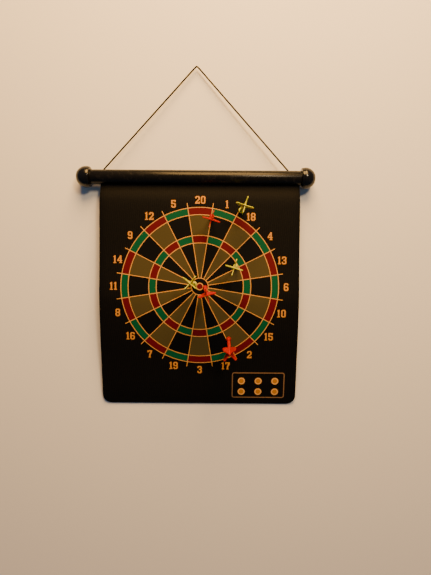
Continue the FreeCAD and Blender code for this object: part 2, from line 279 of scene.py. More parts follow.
def swept(path: list[Vector], radius: float, sides: int) -> bmesh.types.BMesh:
    """Round tube along a path, with a UV map of turns round it and metres along it.

    Args:
        path: Centre points of its rings.
        radius: The tube's radius.
        sides: Points in each ring.

    Returns:
        The closed tube.
    """
    mesh = bmesh.new()
    heading = UP.copy()
    turn = Quaternion()
    along = 0.0
    around: dict[bmesh.types.BMVert, tuple[float, float]] = {}
    last_ring: list[bmesh.types.BMEdge] = []
    for index, point in enumerate(path):
        back = path[max(index - 1, 0)]
        ahead = path[min(index + 1, len(path) - 1)]
        new_heading = (ahead - back).normalized()
        turn = heading.rotation_difference(new_heading) @ turn
        heading = new_heading
        along += (point - back).length
        ring = bmesh.ops.create_circle(
            mesh,
            cap_ends=index in (0, len(path) - 1),
            segments=sides,
            radius=radius,
            matrix=Matrix.LocRotScale(point, turn, None),
        )["verts"]
        around.update({vert: (number / sides, along) for number, vert in enumerate(ring)})
        members = set(ring)
        edges = [edge for vert in ring for edge in vert.link_edges if edge.other_vert(vert) in members]
        ring_edges = list(dict.fromkeys(edges))
        if last_ring:
            bmesh.ops.bridge_loops(mesh, edges=last_ring + ring_edges)
        last_ring = ring_edges
    bmesh.ops.recalc_face_normals(mesh, faces=mesh.faces)
    layer = mesh.loops.layers.uv.new("UVMap")
    for face in mesh.faces:
        turns = [around[loop.vert][0] for loop in face.loops]
        seam = max(turns) - min(turns) > 0.5 and len(turns) == 4
        for loop, share in zip(face.loops, turns):
            wrapped = share + 1.0 if seam and share < 0.5 else share
            loop[layer].uv = (wrapped, around[loop.vert][1])
    return mesh


# ------------------------------------------------------------------ shader helpers
class Wiring:
    """Short way to add and join nodes in one node tree."""

    def __init__(self, tree: bpy.types.NodeTree) -> None:
        """Keep the tree to work in."""
        self.tree = tree

    def add(self, kind: str, feeds: dict | None = None, **settings: object) -> bpy.types.Node:
        """Add a node.

        Args:
            kind: Node type, without its "ShaderNode" start.
            feeds: Values or sockets for its inputs, by name or number.
            **settings: Properties of the node.

        Returns:
            The node.
        """
        prefix = "" if kind.startswith("Node") else "ShaderNode"
        node = self.tree.nodes.new(prefix + kind)
        for key, value in settings.items():
            setattr(node, key, value)
        for key, value in (feeds or {}).items():
            if isinstance(value, bpy.types.NodeSocket):
                self.tree.links.new(value, node.inputs[key])
            else:
                node.inputs[key].default_value = value
        return node

    def sum(self, operation: str, first: object, second: object = 0.0) -> bpy.types.NodeSocket:
        """Output of one Math node.

        Args:
            operation: Name of the operation.
            first: Value or socket.
            second: Value or socket.

        Returns:
            The result's socket.
        """
        return self.add("Math", {0: first, 1: second}, operation=operation).outputs[0]

    def blend(self, share: object, first: object, second: object) -> bpy.types.NodeSocket:
        """Colour between two others.

        Args:
            share: 0 for the first colour, 1 for the second.
            first: Colour or socket.
            second: Colour or socket.

        Returns:
            The colour's socket.
        """
        feeds = {"Factor": share, 6: _rgba(first), 7: _rgba(second)}
        return self.add("Mix", feeds, data_type="RGBA").outputs[2]

    def range(self, value: object, low: float, high: float) -> bpy.types.NodeSocket:
        """A value from 0 to 1 moved to another range.

        Args:
            value: Value or socket from 0 to 1.
            low: Result at 0.
            high: Result at 1.

        Returns:
            The result's socket.
        """
        feeds = {"Value": value, "To Min": low, "To Max": high}
        return self.add("MapRange", feeds).outputs[0]


def _rgba(colour: object) -> object:
    """A plain colour with its alpha added; anything else as it is."""
    return (*colour, 1.0) if isinstance(colour, tuple) and len(colour) == 3 else colour


def new_group(name: str, inputs: dict[str, float | None], outputs: list[str]) -> tuple[Wiring, dict, dict]:
    """Start a shader node group.

    Args:
        name: The group's name.
        inputs: Default of each input by name, or None for a vector.
        outputs: Names of its value outputs.

    Returns:
        The group's wiring, its input sockets by name and its output sockets by name.
    """
    tree = bpy.data.node_groups.new(name, "ShaderNodeTree")
    for label, default in inputs.items():
        kind = "NodeSocketVector" if default is None else "NodeSocketFloat"
        socket = tree.interface.new_socket(label, in_out="INPUT", socket_type=kind)
        if default is not None:
            socket.default_value = default
    for label in outputs:
        tree.interface.new_socket(label, in_out="OUTPUT", socket_type="NodeSocketFloat")
    wiring = Wiring(tree)
    entry = wiring.add("NodeGroupInput")
    leave = wiring.add("NodeGroupOutput")
    return wiring, {s.name: s for s in entry.outputs if s.name}, {s.name: s for s in leave.inputs if s.name}


def woven_cloth() -> bpy.types.NodeTree:
    """Group for woven cloth: yarns over and under, upright streaks and loose lint.

    Returns:
        The node group, which reads flat cloth coordinates in metres.
    """
    wiring, given, out = new_group(
        "woven_cloth",
        {"Vector": None, "Yarn pitch": 0.0012, "Streak pitch": 0.0038},
        ["Height", "Yarn", "Streak", "Lint"],
    )
    parts = wiring.add("SeparateXYZ", {0: given["Vector"]}).outputs
    turns = [wiring.sum("DIVIDE", parts[axis], given["Yarn pitch"]) for axis in (0, 1)]
    waves = [wiring.sum("SINE", wiring.sum("MULTIPLY", turn, FULL_TURN)) for turn in turns]
    weave = wiring.sum("MULTIPLY", waves[0], waves[1])
    yarn = wiring.sum("MULTIPLY_ADD", weave, 0.5)
    yarn.node.inputs[2].default_value = 0.5
    slant = wiring.sum("MULTIPLY", parts[1], -0.09)
    across = wiring.sum("ADD", parts[0], slant)
    wander = wiring.add("TexNoise", {"Vector": given["Vector"], "Scale": 45.0, "Detail": 1.0}).outputs[0]
    phase = wiring.sum("ADD", wiring.sum("DIVIDE", across, given["Streak pitch"]), wander)
    wave = wiring.sum("SINE", wiring.sum("MULTIPLY", phase, FULL_TURN))
    stretch = wiring.add("Mapping", {"Vector": given["Vector"], "Scale": (900.0, 90.0, 1.0)}).outputs[0]
    slub = wiring.add("TexNoise", {"Vector": stretch, "Scale": 1.0, "Detail": 2.0}).outputs[0]
    streak = wiring.sum("MULTIPLY", wiring.range(wiring.sum("MULTIPLY_ADD", wave, 0.5), 0.0, 1.0), slub)
    wiring.tree.links.new(yarn, out["Yarn"])
    wiring.tree.links.new(streak, out["Streak"])
    lint = wiring.add("TexNoise", {"Vector": given["Vector"], "Scale": 700.0, "Detail": 2.0}).outputs[0]
    specks = wiring.add("MapRange", {"Value": lint, "From Min": 0.7, "From Max": 0.78}).outputs[0]
    wiring.tree.links.new(specks, out["Lint"])
    wiring.tree.links.new(wiring.sum("ADD", yarn, streak), out["Height"])
    return wiring.tree


def moulded_skin() -> bpy.types.NodeTree:
    """Group for moulded plastic: a fine skin, slow flow marks and rubbed patches.

    Returns:
        The node group, which reads object coordinates in metres.
    """
    wiring, given, out = new_group(
        "moulded_skin", {"Vector": None, "Grain": 1500.0}, ["Height", "Flow", "Rubbed"]
    )
    fine = wiring.add("TexNoise", {"Vector": given["Vector"], "Scale": given["Grain"], "Detail": 3.0})
    flow = wiring.add("TexNoise", {"Vector": given["Vector"], "Scale": 38.0, "Detail": 4.0})
    patch = wiring.add("TexNoise", {"Vector": given["Vector"], "Scale": 110.0, "Detail": 6.0})
    rubbed = wiring.add("MapRange", {"Value": patch.outputs[0], "From Min": 0.52, "From Max": 0.72})
    wiring.tree.links.new(fine.outputs[0], out["Height"])
    wiring.tree.links.new(flow.outputs[0], out["Flow"])
    wiring.tree.links.new(rubbed.outputs[0], out["Rubbed"])
    return wiring.tree


def braided_cord() -> bpy.types.NodeTree:
    """Group for a round braid: strands that cross both ways round the cord.

    Returns:
        The node group, which reads turns round the cord and metres along it.
    """
    wiring, given, out = new_group("braided_cord", {"Vector": None, "Lay": 0.009}, ["Height", "Strand"])
    parts = wiring.add("SeparateXYZ", {0: given["Vector"]}).outputs
    lays = wiring.sum("MULTIPLY", wiring.sum("DIVIDE", parts[1], given["Lay"]), 4.0)
    turns = wiring.sum("MULTIPLY", parts[0], 4.0)
    ridges = []
    for operation in ("ADD", "SUBTRACT"):
        phase = wiring.sum(operation, turns, lays)
        ridges.append(wiring.sum("ABSOLUTE", wiring.sum("SINE", wiring.sum("MULTIPLY", phase, math.pi))))
    wiring.tree.links.new(wiring.sum("MAXIMUM", *ridges), out["Height"])
    wiring.tree.links.new(wiring.sum("MULTIPLY", *ridges), out["Strand"])
    return wiring.tree


@dataclass(frozen=True)
class Effects:
    """Node groups that the finishes share."""

    cloth: bpy.types.NodeTree
    skin: bpy.types.NodeTree
    braid: bpy.types.NodeTree

    @classmethod
    def build(cls) -> "Effects":
        """Make each group once."""
        return cls(woven_cloth(), moulded_skin(), braided_cord())


def new_material(name: str, shading: dict) -> tuple[bpy.types.Material, Wiring, bpy.types.Node]:
    """Start a material with a Principled shader.

    Args:
        name: The material's name.
        shading: Constant values for the shader's own sockets.

    Returns:
        The material, its wiring and its shader.
    """
    material = bpy.data.materials.new(name)
    material.use_nodes = True
    wiring = Wiring(material.node_tree)
    shader = material.node_tree.nodes["Principled BSDF"]
    for key, value in shading.items():
        shader.inputs[key].default_value = _rgba(value)
    return material, wiring, shader


def add_bump(wiring: Wiring, shader: bpy.types.Node, height: bpy.types.NodeSocket, depth: float) -> None:
    """Feed a height into a shader's normal.

    Args:
        wiring: The material's wiring.
        shader: Its shader.
        height: Socket of the height, from 0 to 1.
        depth: Real height of the relief in metres.
    """
    bump = wiring.add("Bump", {"Height": height, "Distance": depth, "Strength": 1.0})
    wiring.tree.links.new(bump.outputs[0], shader.inputs["Normal"])


@dataclass(frozen=True)
class MouldedPlastic:
    """Moulded plastic with a fine skin, flow marks and rubbed patches."""

    name: str
    colour: Colour
    worn_colour: Colour
    roughness: tuple[float, float]
    skin_depth: float = 0.012 * MM
    grain: float = 1500.0
    coat: float = 0.0
    specular: float = 0.5
    scatter: float = 0.0

    def material(self, effects: Effects) -> bpy.types.Material:
        """Make the material.

        Args:
            effects: The shared node groups.

        Returns:
            The material.
        """
        shading = {
            "Coat Weight": self.coat,
            "Coat Roughness": 0.08,
            "Specular IOR Level": self.specular,
            "Subsurface Weight": self.scatter,
            "Subsurface Scale": 2 * MM,
        }
        material, wiring, shader = new_material(self.name, shading)
        place = wiring.add("TexCoord").outputs["Object"]
        skin = wiring.add("Group", node_tree=effects.skin)
        wiring.tree.links.new(place, skin.inputs["Vector"])
        skin.inputs["Grain"].default_value = self.grain
        worn = wiring.sum("MULTIPLY", skin.outputs["Rubbed"], skin.outputs["Flow"])
        tone = wiring.blend(worn, self.colour, self.worn_colour)
        wiring.tree.links.new(tone, shader.inputs["Base Color"])
        gloss = wiring.range(skin.outputs["Rubbed"], *self.roughness)
        wiring.tree.links.new(gloss, shader.inputs["Roughness"])
        add_bump(wiring, shader, skin.outputs["Height"], self.skin_depth)
        return material


@dataclass(frozen=True)
class WovenCloth:
    """Woven cloth that reads the flat sheet's own UV map, plain or printed."""

    name: str
    # colour is the cloth's tone in the hollows between yarns and high_colour its tone on the yarn crowns, in
    # the streaks and in the lint; the crowns being lighter than the hollows is painted shade.
    colour: Colour
    high_colour: Colour
    roughness: float
    streaks: float = 1.0
    relief: float = 0.12 * MM
    sheen: float = 0.0
    specular: float = 0.3
    yarn_pitch: float = 1.2 * MM

    def material(self, effects: Effects) -> bpy.types.Material:
        """Make the material.

        Args:
            effects: The shared node groups.

        Returns:
            The material.
        """
        shading = {
            "Sheen Weight": self.sheen,
            "Sheen Roughness": 0.5,
            "Specular IOR Level": self.specular,
        }
        material, wiring, shader = new_material(self.name, shading)
        flat = wiring.add("UVMap", uv_map="UVMap").outputs[0]
        cloth = wiring.add("Group", node_tree=effects.cloth)
        wiring.tree.links.new(flat, cloth.inputs["Vector"])
        cloth.inputs["Yarn pitch"].default_value = self.yarn_pitch
        streak = wiring.sum("MULTIPLY", cloth.outputs["Streak"], self.streaks)
        # Painted shade: the yarn crowns take the lighter colour and the hollows between yarns the darker one,
        # following the weave height. The streaks add a pattern of tone on top.
        painted_yarn_shade = wiring.sum("MULTIPLY", cloth.outputs["Yarn"], 0.35)
        share = wiring.sum("ADD", painted_yarn_shade, streak)
        tone = wiring.blend(share, self.colour, self.high_colour)
        lint = wiring.sum("MULTIPLY", cloth.outputs["Lint"], 0.25)
        speck = tuple(min(1.0, 3.0 * part + 0.01) for part in self.high_colour)
        wiring.tree.links.new(wiring.blend(lint, tone, speck), shader.inputs["Base Color"])
        gloss = wiring.range(cloth.outputs["Yarn"], self.roughness + 0.06, self.roughness - 0.06)
        wiring.tree.links.new(gloss, shader.inputs["Roughness"])
        add_bump(wiring, shader, cloth.outputs["Height"], self.relief)
        return material


@dataclass(frozen=True)
class MagnetRubber:
    """Flexible magnetic rubber: a dull dark sheet with calender marks."""

    name: str = "magnet_rubber"
    colour: Colour = (0.018, 0.015, 0.013)
    worn_colour: Colour = (0.05, 0.042, 0.036)

    def material(self, effects: Effects) -> bpy.types.Material:
        """Make the material.

        Args:
            effects: The shared node groups.

        Returns:
            The material.
        """
        like_plastic = MouldedPlastic(
            self.name, self.colour, self.worn_colour, (0.55, 0.8), skin_depth=0.03 * MM, grain=900.0
        )
        return like_plastic.material(effects)


@dataclass(frozen=True)
class PlatedMagnet:
    """Nickel-plated disc magnet with fine scratches."""

    name: str = "nickel_plate"
    colour: Colour = (0.62, 0.58, 0.52)
    dull_colour: Colour = (0.38, 0.35, 0.31)

    def material(self, effects: Effects) -> bpy.types.Material:
        """Make the material.

        Args:
            effects: The shared node groups.

        Returns:
            The material.
        """
        material, wiring, shader = new_material(self.name, {"Metallic": 1.0})
        place = wiring.add("TexCoord").outputs["Object"]
        skin = wiring.add("Group", node_tree=effects.skin)
        wiring.tree.links.new(place, skin.inputs["Vector"])
        skin.inputs["Grain"].default_value = 2400.0
        tone = wiring.blend(skin.outputs["Rubbed"], self.colour, self.dull_colour)
        wiring.tree.links.new(tone, shader.inputs["Base Color"])
        gloss = wiring.range(skin.outputs["Height"], 0.18, 0.42)
        wiring.tree.links.new(gloss, shader.inputs["Roughness"])
        add_bump(wiring, shader, skin.outputs["Height"], 0.006 * MM)
        return material


@dataclass(frozen=True)
class BraidedCord:
    """Thin black braid that reads the cord's own UV map."""

    name: str = "black_braid"
    colour: Colour = (0.0008, 0.0008, 0.001)
    high_colour: Colour = (0.003, 0.003, 0.003)

    def material(self, effects: Effects) -> bpy.types.Material:
        """Make the material.

        Args:
            effects: The shared node groups.

        Returns:
            The material.
        """
        shading = {"Specular IOR Level": 0.12}
        material, wiring, shader = new_material(self.name, shading)
        along = wiring.add("UVMap", uv_map="UVMap").outputs[0]
        braid = wiring.add("Group", node_tree=effects.braid)
        wiring.tree.links.new(along, braid.inputs["Vector"])
        # Painted shade: the strand crowns take the lighter colour and the grooves between strands the darker
        # one.
        tone = wiring.blend(braid.outputs["Strand"], self.colour, self.high_colour)
        wiring.tree.links.new(tone, shader.inputs["Base Color"])
        gloss = wiring.range(braid.outputs["Strand"], 0.75, 0.55)
        wiring.tree.links.new(gloss, shader.inputs["Roughness"])
        add_bump(wiring, shader, braid.outputs["Height"], 0.18 * MM)
        return material


class Ink(Enum):
    """Inks of the print, in the order of the print's materials."""

    RED = 0
    GREEN = 1
    TAN = 2
    BLACK = 3
    WIRE = 4
    NUMBER = 5
    PANEL = 6
    SPOT_RING = 7
    SPOT = 8

    @property
    def finish(self) -> WovenCloth:
        """The printed cloth that this ink makes."""
        colour, high_colour = INK_COLOURS[self]
        name = f"ink_{self.name.lower()}"
        return WovenCloth(name, colour, high_colour, 0.62, streaks=0.45, relief=0.07 * MM, specular=0.08)


# Each ink's colour in the hollows between yarns, then on the yarn crowns and streaks; the crowns being
# lighter than the hollows is painted shade.
INK_COLOURS: dict[Ink, tuple[Colour, Colour]] = {
    Ink.RED: ((0.082, 0.0024, 0.0066), (0.108, 0.0036, 0.0105)),
    Ink.GREEN: ((0.0005, 0.061, 0.024), (0.001, 0.084, 0.036)),
    Ink.TAN: ((0.047, 0.038, 0.0134), (0.072, 0.059, 0.0225)),
    Ink.BLACK: ((0.0006, 0.0008, 0.0011), (0.0022, 0.0025, 0.0036)),
    Ink.WIRE: ((0.5, 0.24, 0.06), (0.64, 0.32, 0.085)),
    Ink.NUMBER: ((0.46, 0.19, 0.028), (0.56, 0.25, 0.042)),
    Ink.PANEL: ((0.18, 0.1, 0.045), (0.27, 0.15, 0.07)),
    Ink.SPOT_RING: ((0.6, 0.3, 0.08), (0.7, 0.36, 0.1)),
    Ink.SPOT: ((0.36, 0.14, 0.006), (0.44, 0.18, 0.01)),
}


# ------------------------------------------------------------------ hanging profile
# How far the mat leans out from the wall, in degrees, at distances in millimetres down
# the sheet from its top edge. It is linear in between, so each stretch is an arc.
LEAN = (
    (0.0, 0.0),
    (3.0, 0.0),
    (8.0, 14.0),
    (16.0, 24.0),
    (26.0, 18.0),
    (38.0, 4.0),
    (50.0, 1.0),
    (98.0, -0.5),
    (140.0, 1.0),
    (190.0, 2.5),
    (212.0, 2.0),
    (222.0, -1.0),
    (236.0, -5.0),
    (285.0, -7.0),
    (325.0, -9.5),
    (355.0, -8.5),
    (385.0, -8.0),
    (412.0, -10.5),
    (428.0, -14.0),
    (437.0, -24.0),
)


@dataclass
class Profile:
    """Bends flat mat coordinates to the hanging mat's side profile."""

    middle_x: float
    top_y: float
    top_z: float

    def __post_init__(self) -> None:
        """Start with no distances worked out."""
        self.known: dict[int, tuple[float, float, float]] = {}

    @staticmethod
    def lean_at(distance: float) -> float:
        """Lean in radians at a distance in millimetres down the sheet."""
        for (low, lean_low), (high, lean_high) in zip(LEAN, LEAN[1:]):
            if distance <= high:
                share = (distance - low) / (high - low)
                return math.radians(lean_low + share * (lean_high - lean_low))
        return math.radians(LEAN[-1][1])

    def travel(self, distance: float) -> tuple[float, float, float]:
        """Forward travel, downward travel and lean at a distance down the sheet.

        Args:
            distance: Distance from the top edge in metres.

        Returns:
            The two travels in metres and the lean in radians.
        """
        key = round(distance * 1e6)
        if key in self.known:
            return self.known[key]
        forward = down = 0.0
        reach_mm = distance / MM
        for (low, _), (high, _) in zip(LEAN, LEAN[1:]):
            end = min(reach_mm, high)
            if end > low:
                start_lean, end_lean = self.lean_at(low), self.lean_at(end)
                middle = (start_lean + end_lean) / 2
                half = (end_lean - start_lean) / 2
                chord = (end - low) * (math.sin(half) / half if abs(half) > 1e-9 else 1.0)
                forward += chord * math.sin(middle)
                down += chord * math.cos(middle)
        self.known[key] = (forward * MM, down * MM, self.lean_at(reach_mm))
        return self.known[key]

    def place(self, flat: Vector) -> Vector:
        """Where a point of the flat mat is when the mat hangs.

        Args:
            flat: Point with x from the mat's middle, y minus the distance down the
                sheet and z the height above its face.

        Returns:
            The point in the part's frame.
        """
        forward, down, lean = self.travel(max(-flat.y, 0.0))
        return Vector(
            (
                self.middle_x + flat.x,
                self.top_y - forward - flat.z * math.cos(lean),
                self.top_z - down + flat.z * math.sin(lean),
            )
        )

    def bend(self, mesh: bmesh.types.BMesh) -> None:
        """Give a flat shape its UV map and bend it.

        Args:
            mesh: The flat shape.
        """
        layer = mesh.loops.layers.uv.new("UVMap")
        for face in mesh.faces:
            for loop in face.loops:
                loop[layer].uv = (loop.vert.co.x, -loop.vert.co.y)
        for vert in mesh.verts:
            vert.co = self.place(vert.co)


@dataclass(frozen=True)
class Strip:
    """One stretch of the mat, which follows one body or lies between two."""

    number: int
    low: float
    high: float
    bodies: tuple[str, ...]
    hinge: float = 0.0

    @property
    def replaced(self) -> tuple[int, ...]:
        """Numbers of the frame's strips that this one stands for."""
        return (self.number,) if self.number < 9 else ()

    def attach(self, piece: bpy.types.Object, profile: Profile, reach: float = 12.0) -> None:
        """Make a piece of this strip follow its body when the strip has only one; a piece between two bodies
        only has its placing baked into its mesh.

        Args:
            piece: The piece, whose mesh is final.
            profile: The hanging profile.
            reach: Millimetres on each side of the hinge.
        """
        if len(self.bodies) == 1:
            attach(piece, self.bodies[0])
            return
        start, end = (
            profile.place(Vector((0.0, -distance * MM, 0.0)))
            for distance in (self.hinge - reach, self.hinge + reach)
        )
        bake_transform(piece)
        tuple(start)
        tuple(end)


STRIPS = (
    Strip(1, 0.0, 80.0, ("roller",)),
    Strip(2, 80.0, 119.0, ("roller", "mat_2"), 95.0),
    Strip(3, 119.0, 164.0, ("mat_2", "mat_3"), 143.0),
    Strip(4, 164.0, 206.0, ("mat_3", "mat_4"), 185.0),
    Strip(5, 206.0, 251.0, ("mat_4", "mat_5"), 227.0),
    Strip(6, 251.0, 302.0, ("mat_5", "mat_6"), 275.0),
    Strip(7, 302.0, 356.0, ("mat_6", "mat_7"), 329.0),
    Strip(8, 356.0, 410.0, ("mat_7", "mat_8"), 383.0),
    Strip(9, 410.0, 437.0, ("mat_8",)),
)
ROW = 3.0  # spacing of the rows down the mat, in millimetres
MAT_TOP_FRONT = 1.0  # how far the mat's top edge is in front of the tube's axis
MAT_TOP_DROP = 9.2  # and how far below it


def rows_between(low: float, high: float) -> list[float]:
    """Row positions inside a stretch of the mat, as flat y in metres.

    Args:
        low: Start in millimetres down the sheet.
        high: End in millimetres down the sheet.

    Returns:
        The rows, without the two ends.
    """
    first = math.floor(low / ROW) + 1
    last = math.ceil(high / ROW) - 1
    return [-number * ROW * MM for number in range(first, last + 1)]


# ------------------------------------------------------------------ print
@dataclass(frozen=True)
class Ring:
    """One ring of the board, out to a radius in millimetres."""

    outer: float
    inks: tuple[Ink, Ink]


RINGS = (
    Ring(5.3, (Ink.RED, Ink.RED)),
    Ring(7.2, (Ink.WIRE, Ink.WIRE)),
    Ring(15.3, (Ink.BLACK, Ink.BLACK)),
    Ring(16.7, (Ink.WIRE, Ink.WIRE)),
    Ring(82.2, (Ink.TAN, Ink.BLACK)),
    Ring(83.7, (Ink.WIRE, Ink.WIRE)),
    Ring(96.6, (Ink.RED, Ink.GREEN)),
    Ring(98.0, (Ink.WIRE, Ink.WIRE)),
    Ring(135.7, (Ink.TAN, Ink.BLACK)),
    Ring(137.1, (Ink.WIRE, Ink.WIRE)),
    Ring(149.6, (Ink.RED, Ink.GREEN)),
    Ring(151.0, (Ink.WIRE, Ink.WIRE)),
)
SECTORS = (20, 1, 18, 4, 13, 6, 10, 15, 2, 17, 3, 19, 7, 16, 8, 11, 14, 9, 12, 5)
HALF_SECTOR = 180 // len(SECTORS)  # in degrees
NUMERAL_HEIGHT = 10.0

EIGHT_WAIST = [(6, 1.4), (6, 4.3), (5.2, 5.1), (6, 5.9), (6, 8.6), (4.6, 10), (1.4, 10), (0, 8.6)]
LOW_EYE = [(1.9, 2.1), (2.3, 1.6), (3.7, 1.6), (4.1, 2.1)]
HOOK = [(4.1, 2.1), (3.7, 1.6), (2.3, 1.6), (1.9, 2.1), (1.9, 3.1), (0, 3.1)]
SIX = [
    [(0, 1.4), (1.4, 0), (4.6, 0), (6, 1.4), (6, 4.6), (4.6, 6), (1.9, 6), (1.9, 7.9), (2.3, 8.4), (3.7, 8.4)]
    + [(4.1, 7.9), (4.1, 7.2), (6, 7.2), (6, 8.6), (4.6, 10), (1.4, 10), (0, 8.6)],
    LOW_EYE + [(4.1, 4), (3.7, 4.5), (1.9, 4.5)],
]
# Block numerals on a cell six wide and ten high: the outer outline, then any holes.
NUMERALS: dict[str, list[list[tuple[float, float]]]] = {
    "0": [
        [(1.4, 0), (4.6, 0), (6, 1.4), (6, 8.6), (4.6, 10), (1.4, 10), (0, 8.6), (0, 1.4)],
        LOW_EYE + [(4.1, 7.9), (3.7, 8.4), (2.3, 8.4), (1.9, 7.9)],
    ],
    "1": [
        [(0.2, 0), (4, 0), (4, 1.2), (3.05, 1.2), (3.05, 10), (1.9, 10), (0.2, 8.9), (0.2, 7.7)]
        + [(1.15, 7.9), (1.15, 1.2), (0.2, 1.2)]
    ],
    "2": [
        [(0, 0), (6, 0), (6, 2.8), (4.6, 2.8), (4.6, 1.8), (2.5, 1.8), (6, 5.6), (6, 8.6), (4.6, 10)]
        + [(1.4, 10), (0, 8.6), (0, 6.7), (1.9, 6.7), (1.9, 7.9), (2.3, 8.4), (3.7, 8.4), (4.1, 7.9)]
        + [(4.1, 6.1), (0, 1.7)]
    ],
    "3": [
        [(0, 1.4), (1.4, 0), (4.6, 0)]
        + EIGHT_WAIST
        + [(0, 6.9), (1.9, 6.9), (1.9, 7.9), (2.3, 8.4), (3.7, 8.4), (4.1, 7.9), (4.1, 6.4), (3.7, 5.9)]
        + [(2.2, 5.9), (2.2, 4.3), (3.7, 4.3), (4.1, 3.8)]
        + HOOK
    ],
    "4": [
        [(2.6, 0), (6.2, 0), (6.2, 1.2), (5.4, 1.2), (5.4, 2.6), (6.4, 2.6), (6.4, 4.1), (5.4, 4.1)]
        + [(5.4, 10), (3.6, 10), (0, 4), (0, 2.6), (3.5, 2.6), (3.5, 1.2), (2.6, 1.2)],
        [(1.9, 4.1), (3.5, 4.1), (3.5, 6.9)],
    ],
    "5": [
        [(0, 1.4), (1.4, 0), (4.6, 0), (6, 1.4), (6, 4.9), (4.6, 6.3), (1.9, 6.3), (1.9, 8.3), (4.2, 8.3)]
        + [(4.2, 7.5), (5.8, 7.5), (5.8, 10), (0, 10), (0, 4.3), (1.5, 4.3), (1.9, 4.7), (3.7, 4.7)]
        + [(4.1, 4.2)]
        + HOOK
    ],
    "6": SIX,
    "7": [
        [(1.4, 0), (4.4, 0), (4.4, 1.2), (4, 1.2), (4, 3.6), (6, 7.6), (6, 10), (0, 10), (0, 7.2)]
        + [(1.5, 7.2), (1.5, 8.3), (3.9, 8.3), (2.1, 4.2), (2.1, 1.2), (1.4, 1.2)]
    ],
    "8": [
        [(0, 1.4), (1.4, 0), (4.6, 0)] + EIGHT_WAIST + [(0, 5.9), (0.8, 5.1), (0, 4.3)],
        LOW_EYE + [(4.1, 3.8), (3.7, 4.3), (2.3, 4.3), (1.9, 3.8)],
        [(1.9, 6.4), (2.3, 5.9), (3.7, 5.9), (4.1, 6.4), (4.1, 7.9), (3.7, 8.4), (2.3, 8.4), (1.9, 7.9)],
    ],
    "9": [[(6 - x, 10 - y) for x, y in outline] for outline in SIX],
}


